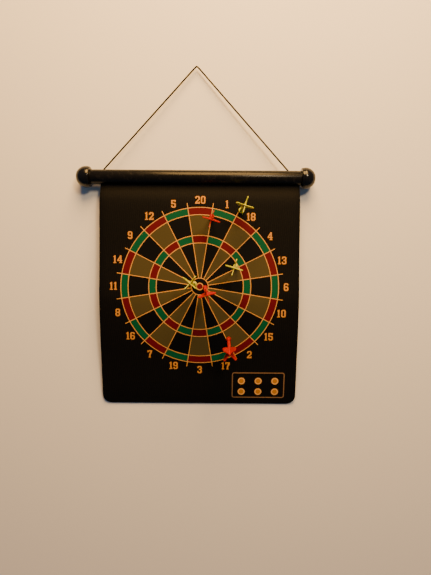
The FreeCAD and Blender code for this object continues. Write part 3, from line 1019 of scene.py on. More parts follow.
@dataclass
class Print:
    """The board that is printed on the face cloth, modelled flat."""

    centre_x: float = 1.0
    centre_down: float = 200.5
    steps: int = 160
    wire_width: float = 1.4
    wire_reach: tuple[float, float] = (16.0, 160.0)
    number_radius: float = 164.5
    number_unit: float = 1.48
    number_gap: float = 1.2
    panel_x: tuple[float, float] = (64.65, 167.9)
    panel_down: tuple[float, float] = (370.4, 423.3)
    panel_line: float = 1.7
    panel_corner: float = 4.5
    spot_columns: tuple[float, ...] = (83.3, 116.3, 149.1)
    spot_rows: tuple[float, ...] = (388.0, 410.2)
    spot_radius: float = 7.0
    spot_ring: float = 2.3
    ink_root: float = -0.02 * MM
    field_height: float = 0.06 * MM
    line_height: float = 0.1 * MM

    def __post_init__(self) -> None:
        """Lay out the board's middle in metres."""
        self.centre = Vector((self.centre_x * MM, -self.centre_down * MM, 0.0))

    def fields(self) -> bmesh.types.BMesh:
        """Rings and sectors, each face with its ink's number.

        Returns:
            The flat fields.
        """
        mesh = bmesh.new()
        start = math.radians(-HALF_SECTOR)
        radii = [0.0] + [ring.outer for ring in RINGS]
        spoke = Vector((math.sin(start), math.cos(start), 0.0)) * MM
        points = [mesh.verts.new(spoke * radius) for radius in radii]
        lines = [mesh.edges.new(pair) for pair in zip(points, points[1:])]
        bmesh.ops.spin(
            mesh,
            geom=points + lines,
            cent=(0, 0, 0),
            axis=-UP,
            angle=FULL_TURN,
            steps=self.steps,
            use_merge=True,
        )
        bmesh.ops.remove_doubles(mesh, verts=mesh.verts, dist=1e-6)
        for face in mesh.faces:
            face.material_index = self.ink_at(face.calc_center_median()).value
        bmesh.ops.translate(mesh, verts=mesh.verts, vec=self.centre)
        return mesh

    @staticmethod
    def ink_at(point: Vector) -> Ink:
        """Ink of the field at a point, measured from the board's middle."""
        ring = next(ring for ring in RINGS if point.length < ring.outer * MM)
        clock = math.degrees(math.atan2(point.x, point.y)) + HALF_SECTOR
        return ring.inks[int((clock % 360) // (2 * HALF_SECTOR)) % 2]

    def wires(self) -> bmesh.types.BMesh:
        """The twenty lines between the sectors.

        Returns:
            The flat lines.
        """
        mesh = bmesh.new()
        low, high = self.wire_reach
        middle = Vector((0.0, (low + high) / 2 * MM, 0.0))
        size = Vector((self.wire_width * MM, (high - low) * MM, 1.0))
        for number in range(len(SECTORS)):
            turn = Matrix.Rotation(math.radians(HALF_SECTOR * (2 * number + 1)), 4, "Z")
            place = Matrix.Translation(self.centre) @ turn @ Matrix.LocRotScale(middle, None, size)
            bmesh.ops.create_grid(mesh, x_segments=1, y_segments=1, size=0.5, matrix=place)
        for face in mesh.faces:
            face.material_index = Ink.WIRE.value
        return mesh

    def number(self, text: str) -> bmesh.types.BMesh:
        """One number as flat shapes round the origin.

        Args:
            text: Its digits.

        Returns:
            The flat number.
        """
        curve = bpy.data.curves.new("number", "CURVE")
        curve.dimensions = "2D"
        curve.fill_mode = "BOTH"
        start = 0.0
        for digit in text:
            for outline in NUMERALS[digit]:
                spline = curve.splines.new("POLY")
                spline.points.add(len(outline) - 1)
                for point, (x, y) in zip(spline.points, outline):
                    point.co = (start + x, y, 0.0, 1.0)
                spline.use_cyclic_u = True
            width = max(x for x, _ in NUMERALS[digit][0])
            start += width + self.number_gap
        holder = bpy.data.objects.new("number", curve)
        filled = bpy.data.meshes.new_from_object(holder)
        mesh = bmesh.new()
        mesh.from_mesh(filled)
        bpy.data.objects.remove(holder)
        bpy.data.meshes.remove(filled)
        bmesh.ops.remove_doubles(mesh, verts=mesh.verts, dist=1e-4)
        middle = Vector(((start - self.number_gap) / 2, NUMERAL_HEIGHT / 2, 0.0))
        bmesh.ops.translate(mesh, verts=mesh.verts, vec=-middle)
        bmesh.ops.scale(mesh, verts=mesh.verts, vec=Vector((1, 1, 1)) * self.number_unit * MM)
        for face in mesh.faces:
            face.material_index = Ink.NUMBER.value
        return mesh

    def numbers(self) -> bmesh.types.BMesh:
        """The twenty numbers round the board, all upright.

        Returns:
            The flat numbers.
        """
        mesh = bmesh.new()
        for place, value in enumerate(SECTORS):
            clock = math.radians(2 * HALF_SECTOR * place)
            number = self.number(str(value))
            spot = self.centre + Vector((math.sin(clock), math.cos(clock), 0.0)) * self.number_radius * MM
            bmesh.ops.translate(number, verts=number.verts, vec=spot)
            absorb(mesh, number)
        return mesh

    def panel(self) -> bmesh.types.BMesh:
        """Line frame with six spots at the lower right.

        Returns:
            The flat panel.
        """
        (left, right), (top, bottom) = self.panel_x, self.panel_down
        middle = Vector(((left + right) / 2, -(top + bottom) / 2, 0.0)) * MM
        mesh = rounded_quad(
            middle, (right - left) * MM, (bottom - top) * MM, self.panel_corner * MM, low_only=False
        )
        inner = mesh.faces[:]
        bmesh.ops.inset_region(
            mesh, faces=inner, thickness=self.panel_line * MM, use_boundary=True, use_even_offset=True
        )
        bmesh.ops.delete(mesh, geom=inner, context="FACES_ONLY")
        for face in mesh.faces:
            face.material_index = Ink.PANEL.value
        for x in self.spot_columns:
            for down in self.spot_rows:
                absorb(mesh, self.spot(Vector((x, -down, 0.0)) * MM))
        return mesh

    def spot(self, place: Vector) -> bmesh.types.BMesh:
        """One ringed spot.

        Args:
            place: Its middle.

        Returns:
            The flat spot.
        """
        mesh = bmesh.new()
        bmesh.ops.create_circle(
            mesh,
            cap_ends=True,
            segments=32,
            radius=self.spot_radius * MM,
            matrix=Matrix.Translation(place),
        )
        inner = mesh.faces[:]
        bmesh.ops.inset_region(mesh, faces=inner, thickness=self.spot_ring * MM, use_boundary=True)
        for face in mesh.faces:
            face.material_index = Ink.SPOT.value if face in inner else Ink.SPOT_RING.value
        return mesh

    def flat_layers(self) -> list[tuple[bmesh.types.BMesh, float]]:
        """The print's layers, cut along the mat's rows and strips.

        Returns:
            Each flat layer with its ink height.
        """
        lines = self.wires()
        absorb(lines, self.numbers())
        absorb(lines, self.panel())
        layers = [(self.fields(), self.field_height), (lines, self.line_height)]
        cuts = rows_between(0.0, STRIPS[-1].high) + [-strip.low * MM for strip in STRIPS[1:]]
        for mesh, _ in layers:
            for face in mesh.faces:
                face.normal_update()
                if face.normal.z < 0:
                    face.normal_flip()
            slice_at(mesh, 1, cuts)
        return layers


# ------------------------------------------------------------------ mat
@dataclass
class Mat:
    """The rolled mat: printed face cloth, magnetic rubber core and backing cloth."""

    profile: Profile
    effects: Effects
    width: float = 381.0
    corner_radius: float = 18.0
    columns: int = 30
    layers: tuple[float, float, float] = (0.6, 0.8, 0.6)
    core_inset: float = 0.25
    rim: float = 0.22

    def slab(self, strip: Strip, top: float, bottom: float, inset: float) -> bmesh.types.BMesh:
        """One layer of one strip, bent to the hanging profile.

        Args:
            strip: The strip.
            top: Height of the layer's front in millimetres.
            bottom: Height of its back.
            inset: How far its free edges stand in, in millimetres.

        Returns:
            The closed layer.
        """
        last = strip is STRIPS[-1]
        low = strip.low
        high = strip.high - (inset if last else 0.0)
        width = self.width - 2 * inset
        middle = Vector((0.0, -(low + high) / 2 * MM, 0.0))
        radius = (self.corner_radius - inset) * MM if last else 0.0
        mesh = rounded_quad(middle, width * MM, (high - low) * MM, radius, low_only=True)
        step = self.width / self.columns
        slice_at(mesh, 0, [(number - self.columns / 2) * step * MM for number in range(1, self.columns)])
        slice_at(mesh, 1, rows_between(low, high))
        thicken(mesh, bottom * MM, top * MM)
        self.round_rim(mesh, strip, last)
        self.profile.bend(mesh)
        return mesh

    def round_rim(self, mesh: bmesh.types.BMesh, strip: Strip, last: bool) -> None:
        """Round the front and back edges that no other strip continues.

        Args:
            mesh: The flat layer.
            strip: Its strip.
            last: Whether it ends at the mat's bottom edge.
        """
        seams = [strip.low * MM] if last else [strip.low * MM, strip.high * MM]
        chosen = []
        for edge in mesh.edges:
            if len(edge.link_faces) != 2 or edge.calc_face_angle() < math.radians(60):
                continue
            first, second = (vert.co for vert in edge.verts)
            on_seam = any(abs(first.y + seam) < 1e-6 and abs(second.y + seam) < 1e-6 for seam in seams)
            if abs(first.z - second.z) < 1e-7 and not on_seam:
                chosen.append(edge)
        bmesh.ops.bevel(
            mesh,
            geom=chosen,
            offset=self.rim * MM,
            segments=2,
            profile=0.5,
            affect="EDGES",
            material=-1,
            clamp_overlap=True,
        )

    def print_piece(
        self, strip: Strip, layers: list[tuple[bmesh.types.BMesh, float]], root: float
    ) -> bmesh.types.BMesh:
        """The ink on one strip, bent to the hanging profile.

        Args:
            strip: The strip.
            layers: The flat print's layers with their heights.
            root: Height of the ink's underside, just inside the cloth.

        Returns:
            The closed ink films.
        """
        ink = bmesh.new()
        for flat, height in layers:
            part = flat.copy()
            outside = [
                face
                for face in part.faces
                if not strip.low * MM < -face.calc_center_median().y < strip.high * MM
            ]
            bmesh.ops.delete(part, geom=outside, context="FACES")
            if part.faces:
                thicken(part, root, height)
                absorb(ink, part)
            else:
                part.free()
        if ink.faces:
            self.profile.bend(ink)
        return ink

    def build(self) -> None:
        """Make every strip's four pieces."""
        board = Print()
        layers = board.flat_layers()
        inks = [ink.finish.material(self.effects) for ink in Ink]
        face, core, back = self.layers
        core_back = -face - core
        cloth = FACE_CLOTH.material(self.effects)
        rubber = MagnetRubber().material(self.effects)
        backing = BACKING_CLOTH.material(self.effects)
        for strip in STRIPS:
            kinds = (
                ("cloth_face", "face_cloth", "face_cloth", cloth, (0.0, -face, 0.0)),
                ("rubber_core", "magnet_sheet", "magnet_sheet", rubber, (-face, core_back, self.core_inset)),
                ("cloth_back", "backing", "backing_cloth", backing, (core_back, core_back - back, 0.0)),
            )
            for prefix, node, slot, finish, (top, bottom, inset) in kinds:
                mesh = self.slab(strip, top, bottom, inset)
                piece = publish(f"{prefix}_{strip.number}", mesh, [finish])
                strip.attach(piece, self.profile)
                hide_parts(*[f"{node}_{number}" for number in strip.replaced])
                if prefix != "rubber_core":
                    flat = (self.width * MM, (strip.high - strip.low) * MM)
                log.info("%s: %d faces", piece.name, len(piece.data.polygons))
            ink = self.print_piece(strip, layers, board.ink_root)
            if not ink.faces:
                ink.free()
                continue
            print_piece = publish(f"print_{strip.number}", ink, inks)
            strip.attach(print_piece, self.profile)
            log.info("%s: %d faces", print_piece.name, len(print_piece.data.polygons))
        for flat, _ in layers:
            flat.free()


# Each cloth's colour in the hollows between yarns, then on the yarn crowns and streaks; the crowns being
# lighter than the hollows is painted shade.
FACE_CLOTH = WovenCloth(
    "black_face_cloth",
    (0.0004, 0.0004, 0.0005),
    (0.003, 0.0028, 0.003),
    0.66,
    streaks=1.5,
    specular=0.08,
)
BACKING_CLOTH = WovenCloth(
    "black_backing_cloth",
    (0.006, 0.006, 0.0065),
    (0.02, 0.019, 0.018),
    0.8,
    streaks=0.2,
    relief=0.2 * MM,
    sheen=0.08,
    yarn_pitch=0.9 * MM,
)


# ------------------------------------------------------------------ roller tube and caps
@dataclass
class Roller:
    """Slotted plastic tube that the mat hangs from, and the clamp rod inside it."""

    effects: Effects
    axis: Vector
    length: float
    hole_x: float
    radius: float = 14.0
    bore_radius: float = 12.4
    slot_width: float = 3.6
    edge_round: float = 0.35
    hole_radius: float = 2.6
    drill_reach: float = 10.0
    steps: int = 132

    def tube(self) -> bmesh.types.BMesh:
        """Wall of the tube, open along a slot at its bottom.

        Returns:
            The closed wall.
        """
        mesh = bmesh.new()
        half_slot = math.asin(self.slot_width / 2 / self.radius)
        middle = Vector((0.0, 0.0, -(self.radius + self.bore_radius) / 2)) * MM
        upright = Matrix.Rotation(math.radians(90), 4, "X")
        size = Matrix.Diagonal((self.length * MM, (self.radius - self.bore_radius) * MM, 1.0, 1.0))
        place = self.turn_about_x(half_slot) @ Matrix.Translation(middle) @ upright @ size
        bmesh.ops.create_grid(mesh, x_segments=1, y_segments=1, size=0.5, matrix=place)
        bmesh.ops.bevel(
            mesh,
            geom=mesh.verts[:],
            offset=self.edge_round * MM,
            segments=3,
            profile=0.5,
            affect="VERTICES",
            material=-1,
        )
        bmesh.ops.spin(
            mesh,
            geom=mesh.verts[:] + mesh.edges[:] + mesh.faces[:],
            cent=(0, 0, 0),
            axis=(1, 0, 0),
            angle=FULL_TURN - 2 * half_slot,
            steps=self.steps,
            use_merge=False,
        )
        close_up(mesh)
        bmesh.ops.translate(mesh, verts=mesh.verts, vec=self.axis)
        return mesh

    @staticmethod
    def turn_about_x(angle: float) -> Matrix:
        """Turn about the tube's axis."""
        return Matrix.Rotation(angle, 4, "X")

    def build(self) -> None:
        """Make the tube, cut its cord holes and dress the clamp rod."""
        finish = TUBE_PLASTIC.material(self.effects)
        tube = publish("tube_shell", self.tube(), [finish])
        for side in (-1, 1):
            drill = bmesh.new()
            place = self.axis + Vector((side * self.hole_x, 0.0, self.radius)) * MM
            bmesh.ops.create_cone(
                drill,
                cap_ends=True,
                segments=40,
                radius1=self.hole_radius * MM,
                radius2=self.hole_radius * MM,
                depth=2 * self.drill_reach * MM,
                matrix=Matrix.Translation(place),
            )
            carve(tube, drill)
        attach(tube, "roller")
        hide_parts("roller_tube")
        rod = frame["nodes"]["clamp_rod"]
        rod.data.materials.clear()
        rod.data.materials.append(ROD_PLASTIC.material(self.effects))
        log.info("tube_shell: %d faces", len(tube.data.polygons))


@dataclass
class EndCap:
    """Ball-shaped end cap with a hollow plug."""

    effects: Effects
    side: int
    axis: Vector
    tube_length: float
    gap: float = 0.1
    ball_radius: float = 20.2
    ball_offset: float = 7.4
    end_radius: float = 8.5
    plug_radius: float = 12.35
    plug_length: float = 18.0
    bore_radius: float = 9.5
    bore_depth: float = 14.0
    notch_width: float = 8.4
    notch_top: float = 4.6
    groove_depth: float = 0.5

    def outline(self) -> list[tuple]:
        """Outline of the cap from the plug's floor to the middle of its outer end.

        Returns:
            Points (radius, distance out from the inner face) in millimetres.
        """
        rim = math.sqrt(self.ball_radius**2 - self.ball_offset**2)
        end = self.ball_offset + math.sqrt(self.ball_radius**2 - self.end_radius**2)
        mouth = -self.plug_length
        floor = mouth + self.bore_depth
        shoulder = self.ball_point(3.2)
        points = [(0.0, floor), (self.bore_radius - 0.6, floor), (self.bore_radius, floor - 0.6)]
        points += [(self.bore_radius, mouth + 0.3), (self.bore_radius + 0.3, mouth)]
        points += [(self.plug_radius - 0.8, mouth), (self.plug_radius, mouth + 1.2), (self.plug_radius, 0.0)]
        points += [(rim - 0.7, 0.0)]
        points += arc((rim - 0.7, 0.0), (rim - 0.2, 0.2), self.ball_point(0.7), 4)
        points += arc(self.ball_point(0.7), self.ball_point(1.9), shoulder, 4)
        points += [(shoulder[0] - self.groove_depth, 3.5), (self.ball_point(4.4)[0] - self.groove_depth, 4.4)]
        points += [self.ball_point(4.7)]
        points += arc(self.ball_point(4.7), self.ball_point(16.0), self.ball_point(end - 0.5), 26)
        points += arc(points[-1], (self.end_radius + 0.1, end - 0.1), (self.end_radius - 0.9, end), 4)
        points += [(self.end_radius - 3.0, end), (0.0, end)]
        return points

    def ball_point(self, out: float) -> tuple[float, float]:
        """Point of the ball's surface at a distance out from the inner face."""
        return (math.sqrt(self.ball_radius**2 - (out - self.ball_offset) ** 2), out)

    def build(self) -> None:
        """Make the cap and cut the notch that clears the clamp rod."""
        name = "left" if self.side < 0 else "right"
        mesh = turned(self.outline(), 72)
        heading = Vector((self.side, 0.0, 0.0))
        turn = UP.rotation_difference(heading).to_matrix().to_4x4()
        face = self.axis + heading * (self.tube_length / 2 + self.gap) * MM
        bmesh.ops.transform(mesh, verts=mesh.verts, matrix=Matrix.Translation(face) @ turn)
        cap = publish(f"{name}_ball_cap", mesh, [CAP_PLASTIC.material(self.effects)])
        notch = bmesh.new()
        height = self.plug_radius + 1.0 - self.notch_top
        drop = self.notch_top + height / 2
        middle = face - heading * (self.plug_length + 1.0) / 2 * MM - UP * drop * MM
        size = Vector((self.plug_length + 1.0, self.notch_width, height)) * MM
        bmesh.ops.create_cube(notch, size=1.0, matrix=Matrix.LocRotScale(middle, None, size))
        carve(cap, notch)
        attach(cap, f"{name}_cap")
        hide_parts(f"{name}_cap")
        log.info("%s: %d faces", cap.name, len(cap.data.polygons))


TUBE_PLASTIC = MouldedPlastic(
    "black_tube_plastic",
    (0.0045, 0.0043, 0.004),
    (0.012, 0.011, 0.01),
    (0.24, 0.32),
    skin_depth=0.005 * MM,
    grain=900.0,
    specular=0.16,
)
CAP_PLASTIC = MouldedPlastic(
    "black_cap_plastic",
    (0.004, 0.004, 0.004),
    (0.01, 0.0095, 0.009),
    (0.14, 0.26),
    skin_depth=0.004 * MM,
    specular=0.3,
)
ROD_PLASTIC = MouldedPlastic("grey_rod_plastic", (0.03, 0.03, 0.032), (0.07, 0.07, 0.07), (0.4, 0.6))


# ------------------------------------------------------------------ cord
@dataclass
class HangingCord:
    """Thin braided cord over the nail, with a stopper knot inside each end of the tube."""

    effects: Effects
    hole: Vector
    diameter: float = 3.0
    length: float = 535.0
    tail: float = 1.4
    knot_scale: float = 1.3
    knot_drop: float = 9.0
    knot_points: int = 15
    knot_gap: float = 0.45
    bend: tuple[float, float, float] = (-12.5, -0.8, -11.2)
    crown: tuple[float, float, float] = (-1.36, 0.0, 1.5)

    def route(self) -> list[Vector]:
        """Control points of the cord, from the left hole over the nail to the right one.

        Returns:
            The points in metres.
        """
        left = [
            Vector((-self.hole.x, self.hole.y, self.hole.z)),
            Vector(self.bend) * MM,
            Vector(self.crown) * MM,
        ]
        right = [Vector((-point.x, point.y, point.z)) for point in reversed(left)]
        return left + right

    def knot_route(self, side: int) -> list[Vector]:
        """Control points of one stopper knot, a tightened overhand loop.

        Args:
            side: -1 for the left end, 1 for the right.

        Returns:
            The points in metres.
        """
        top = Vector((side * self.hole.x, self.hole.y, self.hole.z))
        middle = top - UP * self.knot_drop * MM
        points = [top, top - UP * self.tail * MM]
        for number in range(self.knot_points):
            share = number / (self.knot_points - 1)
            turn = self.knot_gap + (FULL_TURN - 2 * self.knot_gap) * share
            loop = Vector(
                (
                    math.sin(turn) + 2 * math.sin(2 * turn),
                    -1.1 * math.sin(3 * turn),
                    2 * math.cos(2 * turn) - math.cos(turn),
                )
            )
            points.append(middle + loop * self.knot_scale * MM)
        return points

    def build(self) -> None:
        """Make the cord and its knots."""
        finish = BraidedCord().material(self.effects)
        radius = self.diameter / 2 * MM
        for side, name in ((-1, "left"), (1, "right")):
            knot_path = spline_points(self.knot_route(side), 6)
            knot = publish(f"{name}_stopper_knot", swept(knot_path, radius, 12), [finish])
            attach(knot, "roller")
            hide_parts(f"{name}_knot")
        path = spline_points(self.route(), 40)
        cord = publish("braided_cord", swept(path, radius, 16), [finish])
        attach(cord, "hanger")
        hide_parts("hanging_cord")
        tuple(path[0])
        log.info("%s: %d rings", cord.name, len(path))


# ------------------------------------------------------------------ darts
class DartColour(Enum):
    """The two sets of darts, each value a name's start."""

    YELLOW = "yellow"
    RED = "red"

    @property
    def finish(self) -> MouldedPlastic:
        """The plastic of this set."""
        return YELLOW_PLASTIC if self is DartColour.YELLOW else RED_PLASTIC


YELLOW_PLASTIC = MouldedPlastic(
    "yellow_dart_plastic",
    (0.46, 0.48, 0.035),
    (0.36, 0.37, 0.03),
    (0.4, 0.55),
    specular=0.3,
    skin_depth=0.006 * MM,
    scatter=0.04,
)
RED_PLASTIC = MouldedPlastic(
    "red_dart_plastic",
    (0.3, 0.006, 0.0006),
    (0.22, 0.004, 0.0006),
    (0.4, 0.55),
    specular=0.15,
    skin_depth=0.006 * MM,
    scatter=0.03,
)


@dataclass
class Dart:
    """Magnetic dart: nickel disc, turned barrel and a moulded flight with four fins."""

    name: str
    roll: float
    magnet_radius: float = 4.0
    magnet_length: float = 4.0
    cup_radius: float = 4.8
    cup_start: float = 1.6
    barrel_end: float = 38.0
    length: float = 67.0
    fin_reach: float = 16.0
    fin_thickness: float = 1.3
    fin_edge: float = 0.5
    fin_bevel: float = 0.8
    groove_first: float = 17.2
    groove_pitch: float = 1.6
    groove_count: int = 6
    groove_depth: float = 0.28

    @property
    def colour(self) -> DartColour:
        """The dart's set, from its name."""
        return DartColour(self.name.split("_")[0])

    def place(self) -> Matrix:
        """Turn and place of the dart's own frame: its magnet's face at the origin, its tail along z.

        Returns:
            The matrix.
        """
        joint = next(joint for joint in frame["joints"] if joint["name"] == f"{self.name}_pull")
        axis = Vector(joint["axis"]).normalized()
        low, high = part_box(f"{self.name}_magnet")
        base = (low + high) / 2 - axis * self.magnet_length / 2 * MM
        turn = UP.rotation_difference(axis) @ Quaternion(UP, math.radians(self.roll))
        return Matrix.LocRotScale(base, turn, None)

    def magnet(self) -> bmesh.types.BMesh:
        """Disc magnet with a small round at its edge.

        Returns:
            The closed disc.
        """
        radius, length = self.magnet_radius, self.magnet_length
        outline = [(0.0, 0.0), (radius - 0.3, 0.0)]
        outline += arc((radius - 0.3, 0.0), (radius - 0.088, 0.088), (radius, 0.3), 3)
        outline += [(radius, length), (0.0, length)]
        return turned(outline, 40)

    def barrel(self) -> bmesh.types.BMesh:
        """Barrel with a cup for the magnet, a slim neck and a grooved grip.

        Returns:
            The closed barrel.
        """
        cup, end = self.cup_radius, self.barrel_end
        outline = [(0.0, self.magnet_length), (self.magnet_radius + 0.02, self.magnet_length)]
        outline += [(self.magnet_radius + 0.02, self.cup_start), (cup - 0.2, self.cup_start)]
        outline += [(cup, self.cup_start + 0.25), (cup, 4.4)]
        outline += arc((cup, 4.4), (cup - 0.08, 4.64), (cup - 0.35, 4.75), 3)
        outline += arc((cup - 0.35, 4.75), (3.1, 5.5), (2.2, 9.0), 10)
        outline += [(2.2, 11.0)]
        outline += arc((2.2, 11.0), (2.9, 13.0), (3.2, 16.0), 7)
        for number in range(self.groove_count):
            start = self.groove_first + number * self.groove_pitch
            inner = 3.2 - self.groove_depth
            outline += [(3.2, start), (inner, start + 0.22), (inner, start + 0.6), (3.2, start + 0.82)]
        outline += [(3.2, 27.0)]
        outline += arc((3.2, 27.0), (3.0, 33.0), (2.3, end - 0.2), 10)
        outline += [(2.1, end), (0.0, end)]
        return turned(outline, 40)

    def fin(self) -> bmesh.types.BMesh:
        """One leaf-shaped fin, thick at its middle and thin at its edge.

        Returns:
            The closed fin.
        """
        end, tail, reach = self.barrel_end, self.length, self.fin_reach
        outline = [(0.9, end + 1.0), (1.5, end + 1.0)]
        outline += arc(outline[-1], (8.2, end + 7.6), (reach, tail - 10.0), 14)
        outline += arc(outline[-1], (reach - 0.1, tail - 3.4), (reach - 3.0, tail), 10)
        outline += arc(outline[-1], (6.4, tail - 2.6), (1.0, tail - 3.6), 10)
        mesh = bmesh.new()
        corners = [mesh.verts.new((x * MM, self.fin_edge / 2 * MM, z * MM)) for x, z in outline]
        leaf = mesh.faces.new(corners)
        bmesh.ops.inset_region(
            mesh, faces=[leaf], thickness=self.fin_bevel * MM, use_boundary=True, use_even_offset=True
        )
        rise = (self.fin_thickness - self.fin_edge) / 2 * MM
        bmesh.ops.translate(mesh, verts=leaf.verts, vec=(0.0, rise, 0.0))
        rim_lines = [edge for edge in mesh.edges if edge.is_boundary]
        drawn = bmesh.ops.extrude_edge_only(mesh, edges=rim_lines)["geom"]
        lowered = [item for item in drawn if isinstance(item, bmesh.types.BMVert)]
        bmesh.ops.translate(mesh, verts=lowered, vec=(0.0, -self.fin_edge / 2 * MM, 0.0))
        everything = mesh.verts[:] + mesh.edges[:] + mesh.faces[:]
        bmesh.ops.mirror(mesh, geom=everything, axis="Y", merge_dist=1e-6)
        close_up(mesh)
        return mesh

    def flight(self) -> bmesh.types.BMesh:
        """Hub and four fins.

        Returns:
            The closed shapes together.
        """
        end, tail = self.barrel_end, self.length
        hub = [(0.0, end - 0.3), (1.9, end - 0.3), (2.3, end + 0.3), (2.25, end + 1.2)]
        hub += [(1.75, tail - 2.8), (1.4, tail - 2.2), (0.7, tail - 2.0), (0.0, tail - 2.0)]
        mesh = turned(hub, 32)
        for number in range(4):
            fin = self.fin()
            turn = Matrix.Rotation(math.radians(90 * number), 4, "Z")
            bmesh.ops.transform(fin, verts=fin.verts, matrix=turn)
            absorb(mesh, fin)
        return mesh

    def build(self, plastic: bpy.types.Material, nickel: bpy.types.Material) -> None:
        """Make the dart's three pieces.

        Args:
            plastic: Material of the barrel and the flight.
            nickel: Material of the magnet.
        """
        place = self.place()
        kinds = (
            ("disc", "magnet", self.magnet(), nickel, "magnet_nickel"),
            ("shaft", "barrel", self.barrel(), plastic, f"{self.colour.value}_plastic"),
            ("fins", "flight", self.flight(), plastic, f"{self.colour.value}_plastic"),
        )
        for suffix, node, mesh, finish, slot in kinds:
            bmesh.ops.transform(mesh, verts=mesh.verts, matrix=place)
            piece = publish(f"{self.name}_{suffix}", mesh, [finish])
            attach(piece, self.name)
            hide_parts(f"{self.name}_{node}")
            log.info("%s: %d faces", piece.name, len(piece.data.polygons))


DARTS = (
    Dart("yellow_dart_1", -14.0),
    Dart("yellow_dart_2", -22.0),
    Dart("yellow_dart_3", 45.0),
    Dart("red_dart_1", -17.0),
    Dart("red_dart_2", 20.0),
    Dart("red_dart_3", 50.0),
)


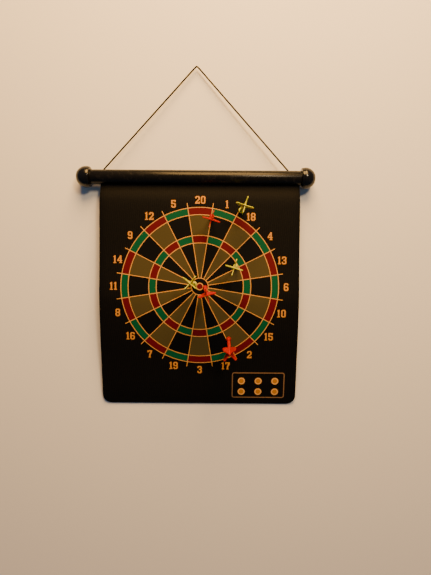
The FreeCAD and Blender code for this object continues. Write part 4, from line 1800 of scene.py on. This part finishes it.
# ------------------------------------------------------------------ studio
@dataclass
class Studio:
    """Camera, painted wall, pale floor and lights."""

    middle_x: float
    tube_z: float
    wall_y: float
    lens: float = 27.23
    camera_offset: tuple[float, float, float] = (0.0308, -0.8609, -0.1793)
    camera_tilt: float = 2.12
    camera_roll: float = -0.43
    floor_z: float = -1.15
    half_width: float = 3.0
    key_offset: tuple[float, float, float] = (0.608, -1.6, 0.688)
    key_size: float = 0.3
    key_power: float = 20.0
    key_colour: Colour = (1.0, 0.72, 0.42)
    fill_offset: tuple[float, float, float] = (0.12, -0.8, 1.1)
    fill_size: float = 0.9
    fill_power: float = 74.0
    fill_colour: Colour = (1.0, 0.55, 0.17)
    back_size: float = 1.2
    back_power: float = 30.0
    back_colour: Colour = (1.0, 0.97, 0.93)
    sky: Colour = (0.1, 0.14, 0.21)
    ground: Colour = (0.07, 0.1, 0.15)
    backdrop: Colour = (0.62, 0.61, 0.59)
    paint: Colour = (0.74, 0.73, 0.7)
    floor_paint: Colour = (0.7, 0.69, 0.67)

    def camera(self) -> None:
        """Set the camera in front of the board, a little to the right and below the tube."""
        data = bpy.data.cameras.new("camera")
        data.lens = self.lens
        data.sensor_width = 36.0
        camera = bpy.data.objects.new("camera", data)
        camera.location = Vector((self.middle_x, self.wall_y, self.tube_z)) + Vector(self.camera_offset)
        camera.rotation_euler = (math.radians(90 - self.camera_tilt), math.radians(self.camera_roll), 0.0)
        bpy.context.scene.collection.objects.link(camera)
        bpy.context.scene.camera = camera

    def wall_paint(self) -> bpy.types.Material:
        """Matt wall paint that is seen only from its front.

        Returns:
            The material.
        """
        material, wiring, shader = new_material("wall_paint", {"Roughness": 0.9, "Base Color": self.paint})
        place = wiring.add("TexCoord").outputs["Object"]
        rolled = wiring.add("TexNoise", {"Vector": place, "Scale": 260.0, "Detail": 3.0}).outputs[0]
        add_bump(wiring, shader, rolled, 0.1 * MM)
        output = material.node_tree.nodes["Material Output"]
        backfacing = wiring.add("NewGeometry").outputs["Backfacing"]
        clear = wiring.add("BsdfTransparent")
        front = wiring.add("MixShader", {0: backfacing, 1: shader.outputs[0], 2: clear.outputs[0]})
        wiring.tree.links.new(front.outputs[0], output.inputs["Surface"])
        return material

    def surfaces(self) -> None:
        """Make the wall and the floor."""
        wall = bmesh.new()
        upright = Matrix.Rotation(math.radians(90), 4, "X")
        place = Matrix.Translation((0.0, self.wall_y, self.floor_z + self.half_width)) @ upright
        bmesh.ops.create_grid(wall, x_segments=1, y_segments=1, size=self.half_width, matrix=place)
        wall_piece = publish("studio_wall", wall, [self.wall_paint()])
        wall_piece.visible_shadow = False
        floor = bmesh.new()
        level = Matrix.Translation((0.0, 0.0, self.floor_z))
        bmesh.ops.create_grid(floor, x_segments=1, y_segments=1, size=2 * self.half_width, matrix=level)
        paint, _, _ = new_material("floor_paint", {"Roughness": 0.8, "Base Color": self.floor_paint})
        floor_piece = publish("studio_floor", floor, [paint])
        floor_piece.visible_glossy = False
        floor_piece.visible_diffuse = False

    def lamp(
        self, name: str, place: Vector, target: Vector, size: float, power: float, colour: Colour
    ) -> None:
        """Add one square soft light.

        Args:
            name: The light's name.
            place: Where it is.
            target: The point that it faces.
            size: Side of its square.
            power: Watts.
            colour: Its colour.
        """
        data = bpy.data.lights.new(name, "AREA")
        data.size = size
        data.energy = power
        data.color = colour
        light = bpy.data.objects.new(name, data)
        light.location = place
        light.rotation_euler = (target - place).to_track_quat("-Z", "Y").to_euler()
        light.visible_camera = False
        bpy.context.scene.collection.objects.link(light)

    def lights(self) -> None:
        """Add a small warm key light, a broad ceiling light and a light behind the wall."""
        tube = Vector((self.middle_x, self.wall_y, self.tube_z))
        key = tube + Vector(self.key_offset)
        self.lamp("key_light", key, tube, self.key_size, self.key_power, self.key_colour)
        ceiling = tube + Vector(self.fill_offset)
        self.lamp("ceiling_light", ceiling, tube, self.fill_size, self.fill_power, self.fill_colour)
        behind = Vector((self.middle_x - 0.6, self.wall_y + 1.6, 0.5))
        mat_middle = tube - UP * 0.2
        self.lamp("back_light", behind, mat_middle, self.back_size, self.back_power, self.back_colour)

    def world(self) -> None:
        """Light everything from a pale sky over dim ground."""
        world = bpy.data.worlds.new("studio_world")
        world.use_nodes = True
        bpy.context.scene.world = world
        wiring = Wiring(world.node_tree)
        background = world.node_tree.nodes["Background"]
        heading = wiring.add("TexCoord").outputs["Generated"]
        rise = wiring.add("SeparateXYZ", {0: heading}).outputs[2]
        share = wiring.add("MapRange", {"Value": rise, "From Min": -0.35, "From Max": 0.25}).outputs[0]
        ambient = wiring.blend(share, self.ground, self.sky)
        seen = wiring.add("LightPath").outputs["Is Camera Ray"]
        shown = wiring.blend(seen, ambient, self.backdrop)
        wiring.tree.links.new(shown, background.inputs["Color"])

    def build(self) -> None:
        """Make the whole studio."""
        self.camera()
        self.surfaces()
        self.lights()
        self.world()


def main() -> None:
    """Build the pieces in order, from the studio to the darts."""
    logging.basicConfig(level=logging.INFO, format="%(name)s %(message)s")
    effects = Effects.build()
    tube_low, tube_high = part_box("roller_tube")
    axis = (tube_low + tube_high) / 2
    axis.x = 0.0
    mat_low, mat_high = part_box("magnet_sheet_2")
    middle_x = (mat_low.x + mat_high.x) / 2
    wall_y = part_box("right_cap")[1].y
    length = (tube_high.x - tube_low.x) / MM
    knot_low, knot_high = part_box("right_knot")
    hole_x = (knot_low.x + knot_high.x) / 2
    Studio(middle_x, axis.z, wall_y).build()
    Roller(effects, axis, length, hole_x / MM).build()
    for side in (-1, 1):
        EndCap(effects, side, axis, length).build()
    HangingCord(effects, Vector((hole_x, axis.y, tube_high.z))).build()
    profile = Profile(middle_x, axis.y - MAT_TOP_FRONT * MM, axis.z - MAT_TOP_DROP * MM)
    Mat(profile, effects).build()
    nickel = PlatedMagnet().material(effects)
    plastics = {colour: colour.finish.material(effects) for colour in DartColour}
    for dart in DARTS:
        dart.build(plastics[dart.colour], nickel)
    bpy.context.view_layer.update()


if __name__ == "__main__":
    main()
